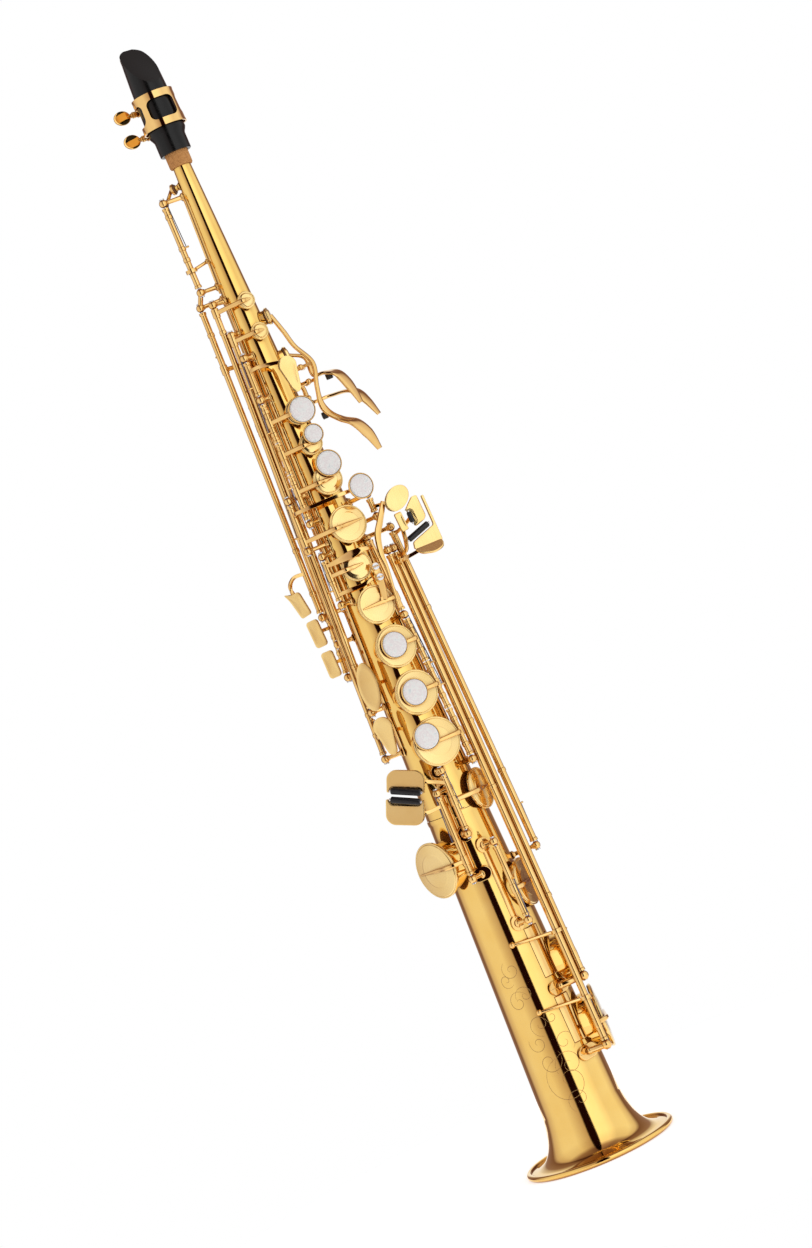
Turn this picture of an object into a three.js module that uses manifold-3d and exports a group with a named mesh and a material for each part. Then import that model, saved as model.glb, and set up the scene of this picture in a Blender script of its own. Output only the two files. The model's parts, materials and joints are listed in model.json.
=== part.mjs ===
// A straight B-flat soprano saxophone, standing on its bell. Millimetres, +Z up the bore.
// Angles around the bore are in degrees from the front (-Y), growing towards +X.
// Every key is drawn with its pad closed, then its group is turned about its own hinge to its rest place.
import * as THREE from "three";
import { mergeVertices } from "three/addons/utils/BufferGeometryUtils.js";
import Module from "manifold-3d";

const wasm = await Module();
wasm.setup();

// ---- driving dimensions ----
const RIM_RADIUS = 46;
const BELL_TOP = 215; // where the bell section meets the main tube
const THROAT = 30; // the cone ends and the flare starts
const NECK_START = 540;
const TUBE_TOP = 652;
const CORK_BOTTOM = 622;
const MOUTHPIECE_BOTTOM = 630.5;
const TIP = 697.5;
const WALL = 0.9;
const FERRULE = 0.35; // the bell section's top ring stands this far out
const GAP = 0.3; // between pieces that touch
const SLEEVE = 1.6; // radius of a key's hinge tube
const BALL = 2.3; // radius of a post's ball
const PAD = 1.7; // how far a pad stands out of its cup
const CUP = 1.5;
const SEAT = 0.84; // a tone hole's outer radius as a share of its cup's
const SEAT_GAP = 0.2; // between a closed pad and its tone hole
const BEAK_ANGLE = 30;
const PALM_LIFT = 1.6;
const OCTAVE_LIFT = 1.4;

const GOLD = { color: 0xd9a441, roughness: 0.18, metalness: 1 };
const NACRE = { color: 0xe6e6e0, roughness: 0.3, metalness: 0 };
const EBONITE = { color: 0x0c0c0d, roughness: 0.3, metalness: 0 };
const CANE = { color: 0xd8bf83, roughness: 0.6, metalness: 0 };
const CORK = { color: 0xb57a3c, roughness: 0.9, metalness: 0 };

// ---- places around the bore ----
const radians = THREE.MathUtils.degToRad;
const outward = (angle) => new THREE.Vector3(Math.sin(radians(angle)), -Math.cos(radians(angle)), 0);
const sideways = (angle) => new THREE.Vector3(Math.cos(radians(angle)), Math.sin(radians(angle)), 0);
const UP = new THREE.Vector3(0, 0, 1);
const polar = (angle, radius, z) => outward(angle).multiplyScalar(radius).setZ(z);
const vector = (x, y, z) => new THREE.Vector3(x, y, z);

// The tube's outer radius at a height: one cone for the body, a slightly steeper one for the neck.
function tubeRadius(z) {
  if (z > NECK_START) return 8.3 - (z - NECK_START) * 0.0351;
  return 8.3 + (NECK_START - z) * 0.0306;
}

// A frame whose x runs sideways, y up and z outward, at a place around the bore.
function facing(angle, radius, z) {
  const frame = new THREE.Matrix4().makeBasis(sideways(angle), UP, outward(angle));
  return frame.setPosition(polar(angle, radius, z));
}

// A frame at a point, its z along a given direction and its y as near up as that allows.
function frameAt(point, direction, up = UP) {
  const z = direction.clone().normalize();
  const x = up.clone().cross(z).normalize();
  return new THREE.Matrix4().makeBasis(x, z.clone().cross(x), z).setPosition(point);
}

// ---- solids ----
function solidOf(geometry) {
  const bare = new THREE.BufferGeometry().setAttribute("position", geometry.getAttribute("position"));
  bare.setIndex(geometry.index);
  const merged = mergeVertices(bare, 1e-4);
  const build = (triVerts) =>
    new wasm.Manifold(
      new wasm.Mesh({ numProp: 3, vertProperties: merged.attributes.position.array, triVerts }),
    );
  const faces = new Uint32Array(merged.index.array);
  const solid = build(faces);
  return solid.volume() > 0 ? solid : build(faces.reverse());
}

function geometryOf(solid) {
  const mesh = solid.getMesh();
  const geometry = new THREE.BufferGeometry();
  geometry.setAttribute("position", new THREE.BufferAttribute(new Float32Array(mesh.vertProperties), 3));
  geometry.setIndex(new THREE.BufferAttribute(new Uint32Array(mesh.triVerts), 1));
  return geometry;
}

const union = (solids) => wasm.Manifold.union(solids.flat(Infinity));
const cut = (solid, tools) => solid.subtract(union([tools]));
const placed = (geometry, frame) => solidOf(geometry.applyMatrix4(frame));

// A profile of [radius, height] pairs turned about local z.
function turned(profile, frame = new THREE.Matrix4(), sides = 16) {
  const points = profile.map(([r, h]) => new THREE.Vector2(r, h));
  return placed(new THREE.LatheGeometry(points, sides).rotateX(Math.PI / 2), frame);
}

const disc = (radius, from, to, frame, sides = 16) =>
  turned([[0, from], [radius, from], [radius, to], [0, to]], frame, sides);

function rod(from, to, radius = SLEEVE, sides = 6) {
  const frame = frameAt(from, to.clone().sub(from), vector(0.1, 1, 0.02));
  return disc(radius, 0, from.distanceTo(to), frame, sides);
}

const ball = (centre, radius = BALL) =>
  placed(new THREE.SphereGeometry(radius, 6, 4), new THREE.Matrix4().setPosition(centre));

// A flat bar between two points: wide across `broad`, thin the other way.
function bar(from, to, width, thickness, broad) {
  const along = to.clone().sub(from);
  const frame = frameAt(from.clone().add(to).multiplyScalar(0.5), along, broad);
  return placed(new THREE.BoxGeometry(thickness, width, along.length() + thickness), frame);
}

// Bars end to end through several points.
const chain = (points, width, thickness, broad) =>
  points.slice(1).map((point, i) => bar(points[i], point, width, thickness, broad));

function plate(shape, thickness, frame) {
  const geometry = new THREE.ExtrudeGeometry(shape, {
    depth: thickness,
    bevelEnabled: false,
    curveSegments: 3,
  });
  return placed(geometry, frame);
}

const oval = (width, height) => new THREE.Shape().absellipse(0, 0, width / 2, height / 2, 0, 2 * Math.PI);

function roundedBox(width, height, corner) {
  const x = width / 2 - corner;
  const y = height / 2 - corner;
  const shape = new THREE.Shape();
  shape.absarc(x, y, corner, 0, Math.PI / 2);
  shape.absarc(-x, y, corner, Math.PI / 2, Math.PI);
  shape.absarc(-x, -y, corner, Math.PI, 1.5 * Math.PI);
  shape.absarc(x, -y, corner, 1.5 * Math.PI, 2 * Math.PI);
  return shape.closePath();
}

// Round and wide at the top, narrow at the bottom.
function teardrop(width, height) {
  const wide = width / 2;
  const narrow = width / 4;
  const shape = new THREE.Shape();
  shape.absarc(0, height / 2 - wide, wide, 0, Math.PI);
  shape.absarc(0, narrow - height / 2, narrow, Math.PI, 2 * Math.PI);
  return shape.closePath();
}

// A flat outline with straight sides through some corners.
function outline(corners) {
  const shape = new THREE.Shape();
  corners.forEach(([x, y], i) => (i ? shape.lineTo(x, y) : shape.moveTo(x, y)));
  return shape.closePath();
}

// ---- tone holes: angle, height, cup radius, chimney height ----
const holes = {
  low_b_flat: { angle: 97, z: 72, cup: 19.5, rise: 3 },
  low_b: { angle: 97, z: 112, cup: 18, rise: 3 },
  low_c_sharp: { angle: 65, z: 162, cup: 14.5, rise: 1.6 },
  low_c: { angle: -62, z: 188, cup: 17, rise: 3 },
  low_e_flat: { angle: 60, z: 222, cup: 12.5, rise: 1.1 },
  low_d: { angle: 11, z: 257, cup: 14.4, rise: 3 },
  low_e: { angle: 12, z: 287.5, cup: 13.2, rise: 3 },
  low_f: { angle: 11, z: 316.5, cup: 12.6, rise: 3 },
  low_f_sharp: { angle: 9, z: 343, cup: 11.4, rise: 3 },
  g_sharp: { angle: 8, z: 368, cup: 9, rise: 3 },
  g: { angle: 26, z: 392, cup: 11.2, rise: 3 },
  a: { angle: 24, z: 420, cup: 8.8, rise: 3 },
  bis: { angle: 23, z: 443.2, cup: 6.9, rise: 2.5 },
  b: { angle: 27, z: 463, cup: 8, rise: 2.5 },
  side_b_flat: { angle: -150, z: 437, cup: 6.4, rise: 1.5 },
  side_c: { angle: -140, z: 465, cup: 6, rise: 1.5 },
  high_e: { angle: -140, z: 503, cup: 5.6, rise: 1.5 },
  high_f_sharp: { angle: 20, z: 515, cup: 5.2, rise: 1.5 },
  high_g: { angle: 20, z: 534.5, cup: 5.2, rise: 1.5 },
  palm_f: { angle: 82, z: 522, cup: 5.2, rise: 1.5 },
  palm_e_flat: { angle: 100, z: 497, cup: 5.6, rise: 1.5 },
  palm_d: { angle: 140, z: 486, cup: 6, rise: 1.5 },
};
const pips = {
  body_octave: { angle: 178, z: 548, cup: 3.2, rise: 3 },
  neck_octave: { angle: -110, z: 612, cup: 3.4, rise: 3 },
};
const seatOf = (hole) => tubeRadius(hole.z) + hole.rise;
const seatFrame = (hole) => facing(hole.angle, seatOf(hole) + SEAT_GAP, hole.z);

// ---- hinge lines, each through a low and a high point ----
const line = (low, high) => ({ low: vector(...low), high: vector(...high) });
const lines = {
  low_b_flat: line([27, -21, 62], [22.6, -6.6, 366]),
  low_b: line([30.3, -16, 104], [26, -1, 366]),
  c_sharp_lever: line([35, 0, 173], [29.5, 2, 378]),
  c_sharp_cup: line([13.7, -25.3, 146], [13, -24, 188]),
  e_flat: line([1, -25.6, 205], [1, -24.6, 237]),
  low_c: line([-6.5, -27.2, 180], [-6.3, -25.8, 226]),
  right_stack: line([20.3, -16.5, 243], [15, -11.8, 378]),
  g_sharp_cup: line([-14.2, -15.2, 354], [-13.8, -14.8, 377]),
  g_sharp_lever: line([24.6, -9.5, 376], [24.4, -9.2, 400]),
  g: line([-20, -15.3, 389], [-19.4, -14.6, 414]),
  left_stack: line([-12.6, -16.6, 404], [-10.4, -13.6, 500]),
  side_e: line([-27.6, -2, 352], [-22.5, -2, 538]),
  side_c: line([-25.5, 4.5, 334], [-17.5, 3.5, 474]),
  side_b_flat: line([-27.5, 8.5, 314], [-17.5, 8, 443]),
  high_f_sharp: line([-22.5, -9.5, 290], [-12.3, -10.3, 512]),
  high_g: line([-26, -6, 262], [-15.2, -8.6, 536]),
  neck_octave: line([-18.7, -4, 543], [-18.5, -4, 602]),
};

function onLine(hinge, z) {
  const share = (z - hinge.low.z) / (hinge.high.z - hinge.low.z);
  return hinge.low.clone().lerp(hinge.high, share);
}

const sleeve = (hinge, from, to) => rod(onLine(hinge, from), onLine(hinge, to));

// ---- pad cups, arms and touches ----
// A shallow cup with its pad under it. Its face lies on the local xy plane.
function cupAndPad(radius) {
  return [
    [0, 0],
    [radius - 0.9, 0],
    [radius - 0.9, PAD / 2],
    [radius, PAD / 2],
    [radius, PAD + 0.5],
    [radius * 0.75, PAD + CUP],
    [0, PAD + CUP],
  ];
}

const cupOf = (hole) => turned(cupAndPad(hole.cup), seatFrame(hole), hole.cup > 9 ? 12 : 9);

// A point over a cup: `side` mm sideways and `height` mm above its top.
function overCup(hole, side, height, z = hole.z) {
  const top = seatOf(hole) + SEAT_GAP + PAD + CUP;
  return outward(hole.angle)
    .multiplyScalar(top + height)
    .addScaledVector(sideways(hole.angle), side)
    .setZ(z);
}

// A fin that rises from the hinge and lies across the cup's top.
function fin(hole, hinge, z = hole.z, reach = 0.45) {
  const root = onLine(hinge, z);
  const across = Math.sign(root.clone().sub(overCup(hole, 0, 0, z)).dot(sideways(hole.angle)));
  const edge = overCup(hole, across * hole.cup * 0.9, 0.9, z);
  const tip = overCup(hole, -across * hole.cup * reach, 0.5, z);
  return chain([root, edge, tip], 1.8, 1.8, UP);
}

function pearlFrame(hole, side, z, height) {
  const frame = facing(hole.angle, 0, z);
  return frame.setPosition(overCup(hole, side, height, z));
}

const pearlHolder = (radius, frame) =>
  turned(
    [
      [0, -1.1],
      [radius + 0.8, -1.1],
      [radius + 0.8, 0.5],
      [radius + GAP, 0.5],
      [radius + GAP, -GAP],
      [0, -GAP],
    ],
    frame,
    10,
  );

const pearl = (radius, frame) =>
  turned([[0, 0], [radius, 0], [radius, 0.6], [radius * 0.6, 1.2], [0, 1.4]], frame, 10);

// ---- the scene graph ----
const instrument = new THREE.Group();
instrument.name = "soprano_saxophone";

function meshOf(name, solid, look) {
  const mesh = new THREE.Mesh(geometryOf(union([solid])), new THREE.MeshStandardMaterial(look));
  mesh.name = name;
  return mesh;
}

const bodies = new Map([["body", instrument]]);

// A fixed piece of the instrument's body.
const fixed = (name, solid, look = GOLD) => instrument.add(meshOf(name, solid, look));

// A moving piece: its group sits on the hinge, local z along it, `rest` radians from the drawn place.
function hinged(name, pieces, { at, axis, rest = 0, range, parent = "body", ...motion }) {
  const drawn = frameAt(at, axis, vector(0.2, 1, 0.1));
  const group = new THREE.Group();
  const holder = bodies.get(parent);
  holder.updateWorldMatrix(true, false);
  // The parent may rest turned from its drawn place, while the child is drawn where it rests.
  const local = holder.matrixWorld.clone().invert().multiply(drawn);
  local.decompose(group.position, group.quaternion, group.scale);
  group.rotateZ(rest);
  group.name = name;
  group.userData = { drawn, range, parent, kind: "hinge", ...motion };
  const inverse = drawn.clone().invert();
  for (const [piece, solid, look = GOLD] of pieces) {
    const mesh = meshOf(piece, solid, look);
    mesh.geometry.applyMatrix4(inverse);
    group.add(mesh);
  }
  holder.add(group);
  bodies.set(name, group);
  return group;
}

// How far a key turns about its hinge to raise the middle of its pad by `lift`.
function swing(hinge, hole, lift, lever) {
  const axis = hinge.high.clone().sub(hinge.low).normalize();
  const at = onLine(hinge, hole ? hole.z : (hinge.low.z + hinge.high.z) / 2);
  const arm = lever ?? axis.clone().cross(overCup(hole, 0, 0).sub(at)).dot(outward(hole.angle));
  return { at, axis, turn: lift / arm };
}

// A key on a hinge. `open` keys rest lifted and are pressed shut, the others rest shut.
function key(name, hinge, lift, open, hole, pieces, { lever, ...motion } = {}) {
  const { at, axis, turn } = swing(hinge, hole, lift, lever);
  const ends = open ? [-turn, 0] : [0, turn];
  const range = [Math.min(...ends), Math.max(...ends)];
  return hinged(name, pieces, { at, axis, rest: open ? turn : 0, range, open, ...motion });
}

// ---- the tube and the bell ----
function coneShell(from, to, inner, outer, sides = 20) {
  const ring = [
    [tubeRadius(from) + inner, from],
    [tubeRadius(from) + outer, from],
    [tubeRadius(to) + outer, to],
    [tubeRadius(to) + inner, to],
  ];
  return turned([...ring, ring[0]], undefined, sides);
}

// Tone-hole chimneys joined to a solid tube, then its bore and the holes cut.
function chimneys(solid, openings, bore) {
  const frameOf = (hole) => facing(hole.angle, seatOf(hole), hole.z);
  const depth = (hole) => tubeRadius(hole.z) * 0.75;
  const sides = (hole) => (hole.cup > 9 ? 8 : 6);
  const walls = openings.map((hole) => disc(hole.cup * SEAT, -depth(hole), 0, frameOf(hole), sides(hole)));
  const ways = openings.map((hole) =>
    disc(hole.cup * SEAT - WALL, -depth(hole) - 1, 1, frameOf(hole), sides(hole)),
  );
  return cut(union([solid, walls]), [bore, ways]);
}

function bore(from, to) {
  const wide = tubeRadius(from) - WALL;
  const narrow = tubeRadius(to) - WALL;
  return turned([[0, from], [wide, from], [narrow, to], [0, to]], undefined, 14);
}

function octaveHoles(solid) {
  const all = Object.values(pips);
  const stems = all.map((pip) => disc(1.8, -3.2, 0, facing(pip.angle, seatOf(pip), pip.z), 7));
  const ways = all.map((pip) => disc(0.8, -6, 1, facing(pip.angle, seatOf(pip), pip.z), 6));
  return cut(union([solid, stems]), ways);
}

function makeTube() {
  const outside = [
    [0, BELL_TOP + GAP],
    [tubeRadius(BELL_TOP), BELL_TOP + GAP],
    [8.3, NECK_START],
    [tubeRadius(TUBE_TOP), TUBE_TOP],
    [0, TUBE_TOP],
  ];
  const upper = Object.values(holes).filter((hole) => hole.z - hole.cup > BELL_TOP);
  const inside = union([bore(BELL_TOP - 1, NECK_START), bore(NECK_START, TUBE_TOP + 1)]);
  const lowCut = chimneys(turned(outside, undefined, 20), upper, inside);
  return octaveHoles(lowCut);
}

function makeBell() {
  const flare = [
    [25.7, 20],
    [28.3, 12],
    [32.5, 6],
    [38, 3.2],
    [RIM_RADIUS - 2, 2.4],
  ];
  const rim = [
    [RIM_RADIUS - 0.6, 3],
    [RIM_RADIUS, 1.5],
    [RIM_RADIUS - 1, 0],
    [RIM_RADIUS - 3.4, 0],
    [RIM_RADIUS - 4, 1.3],
  ];
  const inner = [
    [36, 2.4],
    [31, 5],
    [27.5, 11],
    [24.8, 20],
    [tubeRadius(THROAT) - WALL, THROAT],
  ];
  const ring = [
    [tubeRadius(BELL_TOP) - WALL, BELL_TOP - 3],
    [tubeRadius(BELL_TOP) - WALL, BELL_TOP],
    [tubeRadius(BELL_TOP) + FERRULE, BELL_TOP],
    [tubeRadius(BELL_TOP) + FERRULE, BELL_TOP - 3],
    [tubeRadius(BELL_TOP - 3), BELL_TOP - 3.4],
    [tubeRadius(THROAT), THROAT],
  ];
  const profile = [...ring, ...flare, ...rim, ...inner];
  const lower = Object.values(holes).filter((hole) => hole.z + hole.cup < BELL_TOP);
  return chimneys(turned([...profile, profile[0]], undefined, 20), lower, bore(50, BELL_TOP + 1));
}

// ---- posts on soldered ribs ----
// A rib: a flat strap along the tube.
function rib(angle, from, to, halfWidth) {
  const height = GAP + 0.6;
  const low = polar(angle, tubeRadius(from) + height, from);
  const high = polar(angle, tubeRadius(to) + height, to);
  return bar(low, high, 2 * halfWidth, 0.9, sideways(angle));
}

// A post: a ball on the hinge line, and a stem down to the rib at `angle`.
function post(hinge, z, angle) {
  const top = onLine(hinge, z);
  return [rod(polar(angle, tubeRadius(z) + GAP + 0.4, z), top, 1.1, 5), ball(top)];
}

const postRow = (hinge, heights, angle, halfWidth = 1.8) => [
  rib(angle, Math.min(...heights) - 2.5, Math.max(...heights) + 2.5, halfWidth),
  heights.map((z) => post(hinge, z, angle)),
];

function makeCork() {
  const [low, high] = [CORK_BOTTOM, TUBE_TOP - 3];
  const ring = [
    [tubeRadius(low) + GAP, low],
    [7.1, low],
    [7.1, high],
    [tubeRadius(high) + GAP, high],
  ];
  return turned([...ring, ring[0]], undefined, 14);
}

fixed("body_tube", makeTube());
fixed("bell", makeBell());
fixed("neck_cork", makeCork(), CORK);

// ---- posts ----
// A flat strap across the tube between two ribs.
function tie(from, to, z) {
  const height = GAP + 1.3;
  return bar(polar(from, tubeRadius(z) + height, z), polar(to, tubeRadius(z) + height, z), 3, 1, UP);
}

const postsOf = {
  low_b_posts: [
    rib(45, 55, 103, 1.3),
    post(lines.low_b_flat, 58.5, 45),
    post(lines.low_b, 99.5, 45),
  ],
  table_posts: [
    rib(97, 366, 407, 3),
    post(lines.low_b_flat, 369.5, 90),
    post(lines.low_b, 369.5, 95),
    post(lines.c_sharp_lever, 381.5, 100),
    [390, 404].map((z) => post(lines.g_sharp_lever, z, 92)),
  ],
  c_sharp_lever_post: [postRow(lines.c_sharp_lever, [178], 92)],
  c_sharp_cup_posts: [postRow(lines.c_sharp_cup, [142.5, 191.5], 20, 1.2)],
  little_finger_posts: [
    rib(-2, 174, 243, 2),
    [201.5, 240.5].map((z) => post(lines.e_flat, z, -2)),
    [176.5, 229.5].map((z) => post(lines.low_c, z, -2)),
  ],
  right_stack_posts: [postRow(lines.right_stack, [239.5, 331.5, 381.5], 70)],
  left_stack_posts: [
    rib(-36, 348, 506, 1.8),
    [400.5, 477.5, 503.5].map((z) => post(lines.left_stack, z, -36)),
    [350.5, 380.5].map((z) => post(lines.g_sharp_cup, z, -36)),
    [386.5, 417.5].map((z) => post(lines.g, z, -36)),
  ],
  left_side_posts: [
    rib(-62, 256, 542, 1.8),
    [258.5, 539.5].map((z) => post(lines.high_g, z, -62)),
    [286.5, 519].map((z) => post(lines.high_f_sharp, z, -62)),
    rib(-94, 308, 608, 1.4),
    [348.5, 541.5].map((z) => post(lines.side_e, z, -94)),
    [330.5, 477.5].map((z) => post(lines.side_c, z, -94)),
    [310.5, 446.5].map((z) => post(lines.side_b_flat, z, -94)),
    [552, 605.5].map((z) => post(lines.neck_octave, z, -94)),
    [360, 490].map((z) => tie(-62, -94, z)),
  ],
};
for (const [name, pieces] of Object.entries(postsOf)) fixed(name, pieces);

// ---- keys ----
const stackPearl = (hole, side, z) => pearlFrame(hole, side, z, 2.3);

// Pieces drawn where they lie at rest, brought back to the closed place that keys are drawn in.
function drawnAtRest(solids, hinge, lift, hole) {
  const { at, axis, turn } = swing(hinge, hole, lift);
  const back = new THREE.Matrix4()
    .makeTranslation(at)
    .multiply(new THREE.Matrix4().makeRotationAxis(axis, -turn))
    .multiply(new THREE.Matrix4().makeTranslation(at.clone().negate()));
  return solids.flat(Infinity).map((solid) => solid.transform(back.elements));
}

// A key whose cup a finger closes: sleeve, fin, cup and, where it has one, a pearl in its holder.
function stackKey(name, hinge, [from, to], hole, lift, touch, extras = [], others = []) {
  const atRest = drawnAtRest(extras, hinge, lift, hole);
  const metal = [sleeve(hinge, from, to), cupOf(hole), fin(hole, hinge), atRest];
  const pieces = [[name + "_key", metal]];
  for (const [other, solid, look] of others) {
    pieces.push([other, drawnAtRest([solid], hinge, lift, hole), look]);
  }
  if (touch) {
    const frame = stackPearl(hole, touch.side, touch.z);
    metal.push(pearlHolder(touch.radius, frame));
    pieces.push([name + "_pearl", pearl(touch.radius, frame), NACRE]);
  }
  return key(name, hinge, lift, true, hole, pieces);
}

// A key that rests closed: a finger plate at one place lifts the cup at another.
function leverKey(name, hinge, [from, to], hole, lift, extras = [], motion = {}) {
  const cup = hole ? [cupOf(hole), fin(hole, hinge)] : [];
  const metal = [sleeve(hinge, from, to), cup, extras];
  return key(name, hinge, lift, false, hole, [[name + "_key", metal]], motion);
}

// A finger plate facing `angle`, and an arm to it from the hinge at height `from` by way of some points.
function touch(hinge, from, via, shape, [x, y, z], angle, tilt = 0) {
  const frame = facing(angle, 0, 0)
    .multiply(new THREE.Matrix4().makeRotationZ(radians(tilt)))
    .setPosition(x, y, z);
  const middle = vector(x, y, z).addScaledVector(outward(angle), 0.3);
  const route = [onLine(hinge, from), ...via.map((point) => vector(...point)), middle];
  return [chain(route, 2.2, 1.8, UP), plate(shape, 1.5, frame)];
}

// Right-hand stack.
stackKey("low_d", lines.right_stack, [242.3, 271.5], holes.low_d, 3, { side: -6, z: 262, radius: 7.3 });
stackKey("low_e", lines.right_stack, [272, 301.5], holes.low_e, 3, { side: -2.5, z: 288, radius: 7.4 });
stackKey("low_f", lines.right_stack, [302, 328.7], holes.low_f, 3, { side: -2, z: 317.5, radius: 7.3 });
stackKey("f_sharp", lines.right_stack, [334.4, 378.7], holes.low_f_sharp, 2.6);

// Left-hand stack.
const gPearl = facing(22, 0, 0).setPosition(23, -26, 409);
const gReach = [
  onLine(lines.g, 409),
  vector(-14, -25, 409),
  vector(11, -25.5, 409),
  vector(16, -22.4, 409),
  vector(22.3, -24.5, 409),
];
stackKey("g", lines.g, [389.4, 414.6], holes.g, 3, null, [
  chain(gReach, 2, 1.8, UP),
  pearlHolder(6.8, gPearl),
], [["g_pearl", pearl(6.8, gPearl), NACRE]]);
stackKey("a", lines.left_stack, [403.4, 431], holes.a, 2.8, { side: 3.4, z: 428.6, radius: 7 });
stackKey("bis", lines.left_stack, [431.5, 450.5], holes.bis, 2.4, { side: 2.6, z: 447.6, radius: 5.2 });
stackKey("b", lines.left_stack, [451, 474.5], holes.b, 2.6, { side: 1, z: 463, radius: 7.3 });
leverKey("front_f", lines.left_stack, [480.4, 500.6], null, 3, [
  touch(lines.left_stack, 495, [[-4, -21, 495], [9, -22.4, 492]], teardrop(11, 22), [11, -22.6, 484], 10),
], { lever: 16 });
leverKey("g_sharp_cup", lines.g_sharp_cup, [353.4, 377.6], holes.g_sharp, 2.2);
leverKey("g_sharp_lever", lines.g_sharp_lever, [392.9, 401], null, 2, [
  touch(lines.g_sharp_lever, 396, [[31, -16, 395]], oval(17, 12.5), [38.9, -17.5, 394.8], 10, 32),
], { lever: 14 });

// Left little-finger table. The low C-sharp plate is a hook round its roller, and the low B-flat plate has
// a strip up its outer side.
const C_SHARP_TOUCH = outline([
  [-6.2, 1.8], [0.6, 8.1], [3.7, 8.1], [4.2, -5], [3, -6.9],
  [-3, -8.8], [-4.6, -7.4], [-1.6, -6.8], [-1.9, 1.4],
]);
const B_FLAT_TOUCH = outline([
  [-9.4, 0], [-6, -4.5], [2, -6.8], [8, -4.4], [8.4, 3], [7.6, 28], [6.1, 28], [6.5, 9.6], [-8, 3.4],
]);
leverKey("low_c_sharp_lever", lines.c_sharp_lever, [180.9, 378.6], null, 3, [
  touch(lines.c_sharp_lever, 376.5, [[39, -4, 380]], C_SHARP_TOUCH, [46.2, -11.4, 384.5], 10),
], { lever: 16 });
stackKey("low_b", lines.low_b, [102.4, 366.6], holes.low_b, 3.6, null, [
  touch(lines.low_b, 364, [[33, -9, 366]], roundedBox(4.6, 11.4, 1), [36.1, -12.5, 381.4], 10, 3),
]);
stackKey("low_b_flat", lines.low_b_flat, [61.4, 366.6], holes.low_b_flat, 3.8, null, [
  touch(lines.low_b_flat, 361, [[30, -13, 361]], B_FLAT_TOUCH, [46, -13.6, 363], 10),
]);
leverKey("low_c_sharp_cup", lines.c_sharp_cup, [145.4, 188.6], holes.low_c_sharp, 1.6);

// Right little-finger keys.
leverKey("low_e_flat", lines.e_flat, [204.4, 237.6], holes.low_e_flat, 1.6, [
  touch(lines.e_flat, 233, [[-8, -30, 238]], roundedBox(20.5, 12, 4), [-19.5, -29.5, 243.8], -14, -23),
]);
stackKey("low_c", lines.low_c, [179.4, 226.6], holes.low_c, 4, null, [
  touch(lines.low_c, 222, [[-16, -29, 222]], roundedBox(22, 14, 4.5), [-26.3, -28, 226.6], -14, -23),
]);

// Side keys and high keys of the right hand.
leverKey("side_e", lines.side_e, [351.4, 538.6], holes.high_e, 1.6, [
  touch(lines.side_e, 366, [[-35, -6, 366]], roundedBox(8, 16, 2.5), [-36.2, -9.5, 360.4], -20, 10),
]);
leverKey("side_c", lines.side_c, [333.4, 474.6], holes.side_c, 1.6, [
  touch(lines.side_c, 341.5, [[-32, 0, 341.5]], roundedBox(7.8, 16.4, 2), [-33.7, -9, 341], -20, 2),
]);
leverKey("side_b_flat", lines.side_b_flat, [313.4, 443.6], holes.side_b_flat, 1.6, [
  touch(lines.side_b_flat, 321.5, [[-32, 1, 321.5]], roundedBox(7.8, 16, 2), [-33, -9, 321.4], -20),
]);
leverKey("high_f_sharp", lines.high_f_sharp, [289.4, 514.2], holes.high_f_sharp, 1.8, [
  touch(lines.high_f_sharp, 301, [], oval(12.5, 29), [-18, -19, 301], -18, -6),
]);
leverKey("high_g", lines.high_g, [261.4, 536.6], holes.high_g, 1.8, [
  touch(lines.high_g, 272, [[-25, -13, 272]], teardrop(12, 23), [-19.5, -18, 271], -30),
]);

// ---- palm keys: see-saws, each in a plane through the bore ----
function leverHinge(angle, radius, z) {
  const middle = polar(angle, radius, z);
  const half = sideways(angle).multiplyScalar(2.5);
  return { low: middle.clone().sub(half), high: middle.clone().add(half), middle };
}

const earsOf = (pivot, angle) => [-4.4, 4.4].map((side) => {
  const top = pivot.middle.clone().addScaledVector(sideways(angle), side);
  const foot = top.clone().setZ(0).setLength(tubeRadius(top.z) + GAP + 0.4).setZ(top.z);
  return [rod(foot, top, 1, 6), ball(top, 1.7)];
});

const LEAF_TWIST = 25; // degrees that a palm touch is turned from its key's plane towards the front

function palmKey(name, hole, pivot, path, touchAt) {
  const along = (points) => points.map(([radius, z]) => polar(hole.angle, radius, z));
  const hinge = leverHinge(hole.angle, ...pivot);
  const web = along([pivot, path.web]);
  const [from, to] = touchAt.map((point) => polar(point[0], point[1], point[2]));
  const middle = from.clone().add(to).multiplyScalar(0.5);
  const lie = to.clone().sub(from).normalize();
  const lookout = outward(hole.angle - LEAF_TWIST);
  const face = lookout.addScaledVector(lie, -lookout.dot(lie)).normalize();
  const frame = new THREE.Matrix4().makeBasis(lie.clone().cross(face), lie, face).setPosition(middle);
  const lever = [overCup(hole, 0, -0.3), ...along(path.lever), from.clone().lerp(to, 0.15)];
  const metal = [
    rod(hinge.low, hinge.high, 1.8),
    chain(web, 2.6, 2, sideways(hole.angle)),
    chain(lever, 2.6, 1.8, sideways(hole.angle)),
    plate(teardrop(9, from.distanceTo(to)), 1.5, frame),
    cupOf(hole),
  ];
  const axis = hinge.high.clone().sub(hinge.low).normalize();
  const reach = axis.clone().cross(overCup(hole, 0, 0).sub(hinge.middle)).dot(outward(hole.angle));
  const range = [0, PALM_LIFT / reach].sort((a, b) => a - b);
  hinged(name, [[name + "_key", metal]], { at: hinge.middle, axis, range });
  return [rib(hole.angle, pivot[1] - 2, pivot[1] + 2, 5.4), earsOf(hinge, hole.angle)];
}

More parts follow.
